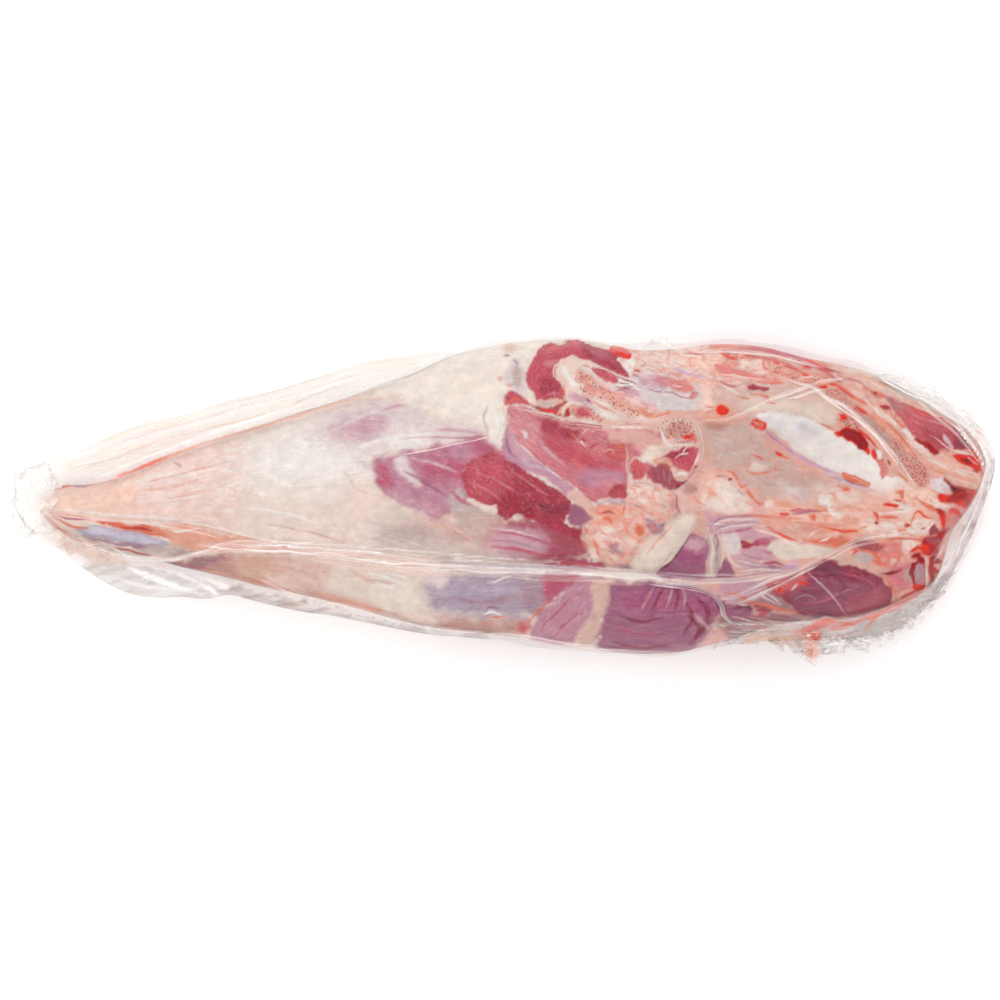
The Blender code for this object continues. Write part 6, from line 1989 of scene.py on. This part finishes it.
    # Pale threads of fascia, about 0.5 mm thick and 2 mm apart.
    run = add_node(m, "Mapping", {"Vector": bent, "Scale": (0.07, 0.62, 1)})
    threads = add_node(m, "TexNoise", {"Vector": run, "Scale": 1.0, "Detail": 4.0, "Roughness": 0.6})
    edge = add_node(m, "Math", {0: threads.outputs["Fac"], 1: 0.5}, operation="SUBTRACT")
    edge = add_node(m, "Math", {0: edge}, operation="ABSOLUTE")
    thread = add_node(
        m, "MapRange", {"Value": edge, "From Max": 0.045, "To Min": 0.8, "To Max": 0.0},
        interpolation_type="SMOOTHSTEP",
    )
    thread = add_node(m, "Math", {0: thread, 1: pale}, operation="MULTIPLY")
    thread = add_node(m, "Math", {0: thread, 1: shown}, operation="MULTIPLY")
    lean = add_node(m, "Mix", {0: thread, 6: lean.outputs[2], 7: (*linear("F0E4DF"), 1)}, data_type="RGBA")
    # Grains of fat, about 1.2 mm across, in the cut lean.
    grains = add_node(m, "TexVoronoi", {"Vector": bent, "Scale": 0.6})
    grit = add_node(
        m, "MapRange",
        {
            "Value": grains.outputs["Distance"],
            "From Min": 0.22, "From Max": 0.42, "To Min": 1.0, "To Max": 0.0,
        },
    )
    clump = add_node(m, "TexNoise", {"Vector": bent, "Scale": 0.4, "Detail": 4.0, "Roughness": 0.7})
    clump = add_node(
        m, "MapRange", {"Value": clump.outputs["Fac"], "From Min": 0.52, "From Max": 0.6, "To Max": 0.85},
    )
    grit = add_node(m, "Math", {0: grit, 1: clump}, operation="MULTIPLY")
    grit = add_node(m, "Math", {0: grit, 1: speckle}, operation="MULTIPLY")
    lean = add_node(
        m, "Mix", {0: grit, 6: lean.outputs[2], 7: (*linear("F0B08C"), 1)}, data_type="RGBA",
    ).outputs[2]
    # Lobes of fat 3 to 10 mm across: pale in the middle, stained orange towards their rims, with
    # blood in the seams between them, here a hair and there 1 mm wide.
    soak = add_node(m, "Mapping", {"Vector": bent, "Scale": (0.1, 0.3, 1)})
    lobes = add_node(m, "TexVoronoi", {"Vector": soak, "Scale": 1.0}, feature="DISTANCE_TO_EDGE")
    soaked = add_node(m, "TexNoise", {"Vector": bent, "Scale": 0.3, "Detail": 6.0, "Roughness": 0.7})
    wide = add_node(
        m, "MapRange", {"Value": soaked.outputs["Fac"], "From Min": 0.44, "From Max": 0.66, "To Max": 0.2},
    )
    within = add_node(m, "Math", {0: wide, 1: lobes.outputs["Distance"]}, operation="SUBTRACT")
    heart = add_node(
        m, "MapRange",
        {"Value": lobes.outputs["Distance"], "From Min": 0.14, "From Max": 0.4, "To Max": 0.6},
    )
    halo = add_node(
        m, "MapRange", {"Value": within, "From Min": -0.24, "From Max": 0.02, "To Max": 0.7},
        interpolation_type="SMOOTHSTEP",
    )
    seam = add_node(
        m, "MapRange", {"Value": within, "From Min": -0.02, "From Max": 0.05},
        interpolation_type="SMOOTHSTEP",
    )
    depth = add_node(m, "MapRange", {"Value": gaps.outputs["Fac"], "From Min": 0.44, "From Max": 0.6})
    blood = add_node(
        m, "Mix", {0: depth, 6: (*linear("D63A2C"), 1), 7: (*linear("9A1218"), 1)}, data_type="RGBA",
    )
    for cover, colour in (
        (heart, (*linear("FAEADF"), 1)), (halo, (*linear("E4836C"), 1)), (seam, blood.outputs[2]),
    ):
        share = add_node(m, "Math", {0: cover, 1: red}, operation="MULTIPLY")
        lean = add_node(m, "Mix", {0: share, 6: lean, 7: colour}, data_type="RGBA").outputs[2]
    open_pits = add_node(m, "MapRange", {"Value": pits, "To Min": 0.85, "To Max": 0.0})
    holed = add_node(m, "Math", {0: open_pits, 1: pores}, operation="MULTIPLY")
    bone = add_node(m, "Mix", {0: holed, 6: lean, 7: (*linear("8E3A38"), 1)}, data_type="RGBA")
    # Heights in millimetres.
    ridge = add_node(m, "Math", {0: streaks.outputs["Fac"], 1: fibre}, operation="MULTIPLY")
    pit = add_node(m, "Math", {0: pits, 1: pores}, operation="MULTIPLY")
    lump = add_node(m, "Math", {0: lumps.outputs["Distance"], 1: lobules}, operation="MULTIPLY")
    low = add_node(m, "Math", {0: ridge, 1: 0.5, 2: mottle.outputs["Fac"]}, operation="MULTIPLY_ADD")
    mid = add_node(m, "Math", {0: pit, 1: 0.5, 2: low}, operation="MULTIPLY_ADD")
    high = add_node(m, "Math", {0: lump, 1: -0.7, 2: mid}, operation="MULTIPLY_ADD")
    bump = add_node(m, "Bump", {"Height": high, "Distance": 0.0008, "Strength": 0.6})
    wet = add_node(m, "MapRange", {"Value": traits.outputs["Alpha"], "To Min": 0.46, "To Max": 0.2})
    skin = add_node(m, "BsdfPrincipled", {
        "Base Color": bone.outputs[2], "Roughness": wet, "Normal": bump,
        "IOR": 1.38, "Specular IOR Level": 0.22,
    })
    return finish_material(m, skin)


@functools.lru_cache(maxsize=None)
def shrink_film():
    """Clear shrink-bag film, about 60 microns of blown polyolefin: almost invisible where it lies
    tight and wet on the meat, milky where empty layers lie on each other, and white where it is
    creased. It is smooth, so it glints along every fold."""
    m = new_material("clear_shrink_film")
    film = add_node(m, "Attribute", attribute_name="film")
    place = add_node(m, "TexCoord")
    # Streaks from blowing and stretching the film run along the leg, 1 to 4 mm apart.
    stretch = add_node(m, "Mapping", {"Vector": place.outputs["Object"], "Scale": (30, 300, 300)})
    streaks = add_node(m, "TexNoise", {"Vector": stretch, "Scale": 1.0, "Detail": 2.0})
    thick = add_node(
        m, "MapRange",
        {
            "Value": streaks.outputs["Fac"],
            "From Min": 0.35, "From Max": 0.65, "To Min": 0.75, "To Max": 1.2,
        },
    )
    hide = add_node(m, "Math", {0: film.outputs["Alpha"], 1: thick}, operation="MULTIPLY")
    bump = add_node(m, "Bump", {"Height": streaks.outputs["Fac"], "Distance": 0.0006, "Strength": 0.4})
    clear = add_node(m, "BsdfTransparent")
    milky = add_node(m, "BsdfPrincipled", {"Base Color": film.outputs["Color"], "Roughness": 0.4})
    body = add_node(m, "MixShader", {0: hide, 1: clear, 2: milky})
    gloss = add_node(m, "BsdfGlossy", {"Roughness": 0.2, "Normal": bump})
    facing = add_node(m, "Fresnel", {"IOR": 1.4, "Normal": bump})
    sheen = add_node(m, "MapRange", {"Value": hide, "From Max": 0.5, "To Min": 0.18, "To Max": 0.9})
    glint = add_node(m, "Math", {0: facing, 1: sheen}, operation="MULTIPLY")
    glint = add_node(m, "Math", {0: glint, 1: 0.12}, operation="MINIMUM")
    skin = add_node(m, "MixShader", {0: glint, 1: body, 2: gloss})
    return finish_material(m, skin)


# ---------------------------------------------------------------- add-on


def colour_property(key, hex_code, words):
    """A colour that the panel shows."""
    return FloatVectorProperty(
        name=key.replace("_", " ").capitalize(), description=words, subtype="COLOR", size=3,
        min=0, max=1, default=tuple(linear(hex_code)),
    )


class GoatTissueColours(bpy.types.PropertyGroup):
    """The colour of each tissue."""

    __annotations__ = {
        key: colour_property(key, look[0], "Colour of this tissue") for key, look in TISSUES.items()
    }


class GoatFilmColours(bpy.types.PropertyGroup):
    """The colour of each look of the film."""

    __annotations__ = {
        key: colour_property(key, look[0], "Colour of the film where it looks like this")
        for key, look in FILMS.items()
    }


class GoatLegSizes(bpy.types.PropertyGroup):
    """Sizes and amounts."""

    film_haze: FloatProperty(
        name="Film haze", description="How milky the film is", default=1, min=0, max=3, subtype="FACTOR",
    )
    tissue_brightness: FloatProperty(
        name="Tissue brightness", description="Scales all tissue colours", default=0.74, min=0, max=2,
    )
    camera_height: FloatProperty(
        name="Camera height", description="Height of the camera above the rim of the bag",
        default=EYE_HEIGHT * MM, min=1, unit="LENGTH",
    )


def tissue_looks():
    """Each tissue's colour as the panel has it, and its traits."""
    scene = bpy.context.scene
    bright = scene.goat_leg_sizes.tissue_brightness
    colours = scene.goat_tissue_colours
    return {
        key: (np.array(getattr(colours, key)) * bright, *look[1:]) for key, look in TISSUES.items()
    }


def film_looks():
    """Each look of the film: its colour as the panel has it, and its haze."""
    colours = bpy.context.scene.goat_film_colours
    haze = bpy.context.scene.goat_leg_sizes.film_haze
    return {key: (np.array(getattr(colours, key)), look[1] * haze) for key, look in FILMS.items()}


class GOATLEG_OT_meat(bpy.types.Operator):
    """Build the raw leg of goat with its muscles, fat and sawn bones"""

    bl_idname = "goatleg.meat"
    bl_label = "Build the leg"

    def execute(self, context):
        points, tone, traits, grain, streak = dressed_leg()
        normals = outward(points)
        cuts = np.linspace(0, LEG_RINGS - 1, len(LENGTHS) + 1).astype(int)
        for name, first, last in zip(LENGTHS, cuts[:-1], cuts[1:]):
            part = slice(first, last + 1)
            faces = ring_faces(last + 1 - first, points.shape[1])
            piece = new_piece(
                name, capped(points[part]), faces, raw_meat(), "meat",
                tone=with_alpha(capped(tone[part]), 1), traits=capped(traits[part]),
                streak=capped(streak[part]), grain=with_alpha(capped(grain[part]), 0),
            )
            piece.data.normals_split_custom_set_from_vertices(capped(normals[part]).tolist())
            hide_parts(NODE)
        return {"FINISHED"}


class GOATLEG_OT_film(bpy.types.Operator):
    """Build the clear film that clings to the leg, with its empty webs"""

    bl_idname = "goatleg.film"
    bl_label = "Build the film"

    def execute(self, context):
        x = stations(BAG[0][0], BAG[-1][0], FILM_RINGS, 0)
        low, high, rim = (c[:, None] for c in along(BAG, x))
        share = (even_shares(FILM_TOP_POINTS, DOME_SHARE, TOP_ROUNDNESS)[None, :] + 1) / 2
        share_below = even_shares(FILM_BELLY_POINTS + 2, DOME_SHARE, SIDE_ROUNDNESS)[None, -2:0:-1]
        share_below = (share_below + 1) / 2
        x_top = np.repeat(x[:, None], FILM_TOP_POINTS, axis=1)
        x_below = np.repeat(x[:, None], FILM_BELLY_POINTS, axis=1)
        y_top, y_below = mix(low, high, share), mix(low, high, share_below)
        z_top = film_top(x_top, y_top)
        z_below = on_grid(film_heights()[1], x_below, y_below)
        z_top[:, [0, -1]] = rim
        # Slack wrinkles that run along the bag, where it isn't stretched over meat.
        canvas = film_canvas(x_top, y_top, z_top)
        canvas.draw(HAZE)
        slack = canvas.traits[:, 0].reshape(x_top.shape)
        slack_share = ease((slack - 0.1) / 0.3)
        wrinkles = crinkle(x_top / 42, (y_top - 0.25 * x_top) / 5, 51)
        z_top[:, 1:-1] += (1.6 * slack_share * wrinkles)[:, 1:-1]
        z_top += 0.12 * crinkle(x_top / 11, y_top / 4, 53)
        film = with_alpha(canvas.tone, canvas.traits[:, 0]).reshape(FILM_RINGS, FILM_TOP_POINTS, 4)
        film[..., 3] *= 0.55 + 0.7 * wrinkles
        below = np.zeros((FILM_RINGS, FILM_BELLY_POINTS, 4))
        below[..., :3] = film_looks()["milky_film"][0]
        below[..., 3] = 0.08
        points = np.concatenate(
            [np.stack([x_top, y_top, z_top], -1), np.stack([x_below, y_below, z_below], -1)], axis=1
        )
        new_piece(
            "film", capped(points), ring_faces(*points.shape[:2]), shrink_film(), "film",
            film=capped(np.concatenate([film, below], axis=1)),
        )
        return {"FINISHED"}


class GOATLEG_OT_creases(bpy.types.Operator):
    """Lay the folds where the film gathers over the leg"""

    bl_idname = "goatleg.creases"
    bl_label = "Lay the creases"

    def execute(self, context):
        strips = Strips()
        seed = 0
        for looks, (width, share, height), (path,) in table_rows(CREASES):
            crease(strips, width, looks, share, height, curve_through(path), seed)
            seed += 1
        for looks, (count, width), ends in table_rows(PLEATS):
            first, last = (plan_points(end) for end in ends)
            for t in np.linspace(0, 1, int(count)):
                path = smooth(np.round(mix(first, last, t), 2))
                crease(strips, width, looks, PLEAT_SHARE, PLEAT_HEIGHT, path, seed)
                seed += 1
        strips.make("film_creases")
        return {"FINISHED"}


class GOATLEG_OT_hems(bpy.types.Operator):
    """Crumple the loose film along the rim of the bag"""

    bl_idname = "goatleg.hems"
    bl_label = "Crumple the hems"

    def execute(self, context):
        strips = Strips()
        for number, (looks, (height,), edges) in enumerate(table_rows(CRUMPLES)):
            for layer in (0, 1):
                crumple(strips, looks, height, edges, 3 * number + layer)
        strips.make("film_hems")
        return {"FINISHED"}


class GOATLEG_OT_tail(bpy.types.Operator):
    """Bunch up the tail of the bag over the hock"""

    bl_idname = "goatleg.tail"
    bl_label = "Bunch the tail"

    def execute(self, context):
        (cx, cy, cz), (rx, ry, rz) = TAIL
        rings, around = 110, 190
        polar = np.linspace(0.03, np.pi - 0.03, rings)[:, None]
        turn = np.linspace(0, 2 * np.pi, around, endpoint=False)[None, :]
        north = np.repeat(np.cos(polar), around, axis=1)
        east, up = np.sin(polar) * np.cos(turn), np.sin(polar) * np.sin(turn)
        # The gather fans out from the neck of the bag, so its creases run mostly along y.
        creases = crinkle(north * 1.8 + 0.6 * wander(east * 2, up * 2, 62), east * 2.6 + up * 2, 61)
        bulge = 0.72 + 0.3 * creases + 0.12 * wander(east * 3 + 5, north * 4 + up * 2, 63)
        points = np.stack([cx + rx * east * bulge, cy + ry * north * bulge, cz + rz * up * bulge], axis=-1)
        points[..., 2] = np.maximum(points[..., 2], 0.3)
        looks = film_looks()
        # The crests of the creases are painted whiter and more opaque as highlights, over the film's own
        # milkiness, and the hollows grey as painted shade.
        tone = mix(looks["grey_film"][0], looks["white_film"][0], creases[..., None])
        alpha = 0.1 + 0.5 * creases**1.5
        new_piece(
            "film_tail", capped(points), ring_faces(rings, around), shrink_film(), "film",
            film=capped(with_alpha(tone, alpha)),
        )
        return {"FINISHED"}


class GOATLEG_OT_stage(bpy.types.Operator):
    """Set up a plain pale floor, soft studio light and a camera straight above"""

    bl_idname = "goatleg.stage"
    bl_label = "Set the stage"

    def execute(self, context):
        scene = context.scene
        bpy.ops.mesh.primitive_plane_add(size=14)
        floor = context.object
        floor.name = "studio_floor"
        m = new_material("white_paper")  # matt paper sweep: even white with no sheen
        paper = add_node(m, "BsdfPrincipled", {
            "Base Color": (*linear("FBFBFB"), 1), "Roughness": 0.9, "Specular IOR Level": 0.1,
        })
        floor.data.materials.append(finish_material(m, paper))
        floor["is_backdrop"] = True
        world = bpy.data.worlds.new("studio_light")
        world.use_nodes = True
        world.node_tree.nodes["Background"].inputs["Color"].default_value = (1, 1, 1, 1)
        world.node_tree.nodes["Background"].inputs["Strength"].default_value = 1.12
        scene.world = world
        # Softboxes stand all round at about 45 degrees: place, size, power.
        for name, place, size, watts in (
            ("softbox_back", (0.0, 1.5, 1.5), (1.8, 0.7), 10),
            ("softbox_front", (0.1, -1.5, 1.4), (1.8, 0.5), 6),
            ("strip_left", (-1.5, 0.3, 1.2), (0.25, 1.4), 4),
        ):
            lamp = bpy.data.lights.new(name, "AREA")
            lamp.shape, lamp.size, lamp.size_y, lamp.energy = "RECTANGLE", *size, watts
            box = bpy.data.objects.new(name, lamp)
            box.location = place
            box.rotation_euler = (-Vector(place)).to_track_quat("-Z", "Y").to_euler()
            box.visible_camera = False
            scene.collection.objects.link(box)
        lens = bpy.data.cameras.new("camera")
        lens.lens, lens.sensor_width = 180, 36
        camera = bpy.data.objects.new("camera", lens)
        mx, my = PLAN_MIDDLE
        camera.location = (-mx * MM, -my * MM, RIM_LEVEL * MM + scene.goat_leg_sizes.camera_height)
        scene.collection.objects.link(camera)
        scene.camera = camera
        scene.view_settings.view_transform = "Standard"
        return {"FINISHED"}


class GOATLEG_PT_panel(bpy.types.Panel):
    """Lists the pieces and their settings"""

    bl_idname = "GOATLEG_PT_panel"
    bl_label = "Raw goat leg"
    bl_space_type = "VIEW_3D"
    bl_region_type = "UI"
    bl_category = "Goat leg"

    def draw(self, context):
        for step in STEPS:
            self.layout.operator(step.bl_idname)
        for group in ("goat_leg_sizes", "goat_tissue_colours", "goat_film_colours"):
            settings = getattr(context.scene, group)
            for key in settings.__annotations__:
                self.layout.prop(settings, key)


STEPS = (
    GOATLEG_OT_meat, GOATLEG_OT_film, GOATLEG_OT_creases, GOATLEG_OT_hems, GOATLEG_OT_tail,
    GOATLEG_OT_stage,
)
GROUPS = {
    "goat_leg_sizes": GoatLegSizes,
    "goat_tissue_colours": GoatTissueColours,
    "goat_film_colours": GoatFilmColours,
}
CLASSES = (*GROUPS.values(), *STEPS, GOATLEG_PT_panel)


def register():
    for cls in CLASSES:
        bpy.utils.register_class(cls)
    for name, group in GROUPS.items():
        setattr(bpy.types.Scene, name, PointerProperty(type=group))


def unregister():
    for name in GROUPS:
        delattr(bpy.types.Scene, name)
    for cls in reversed(CLASSES):
        bpy.utils.unregister_class(cls)


def main():
    register()
    for step in STEPS:
        group, name = step.bl_idname.split(".")
        getattr(getattr(bpy.ops, group), name)()
    sizes = {"cad": CAD_BOX, "visual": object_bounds()}
    {key: [list(corner) for corner in box] for key, box in sizes.items()}


if __name__ == "__main__":
    main()
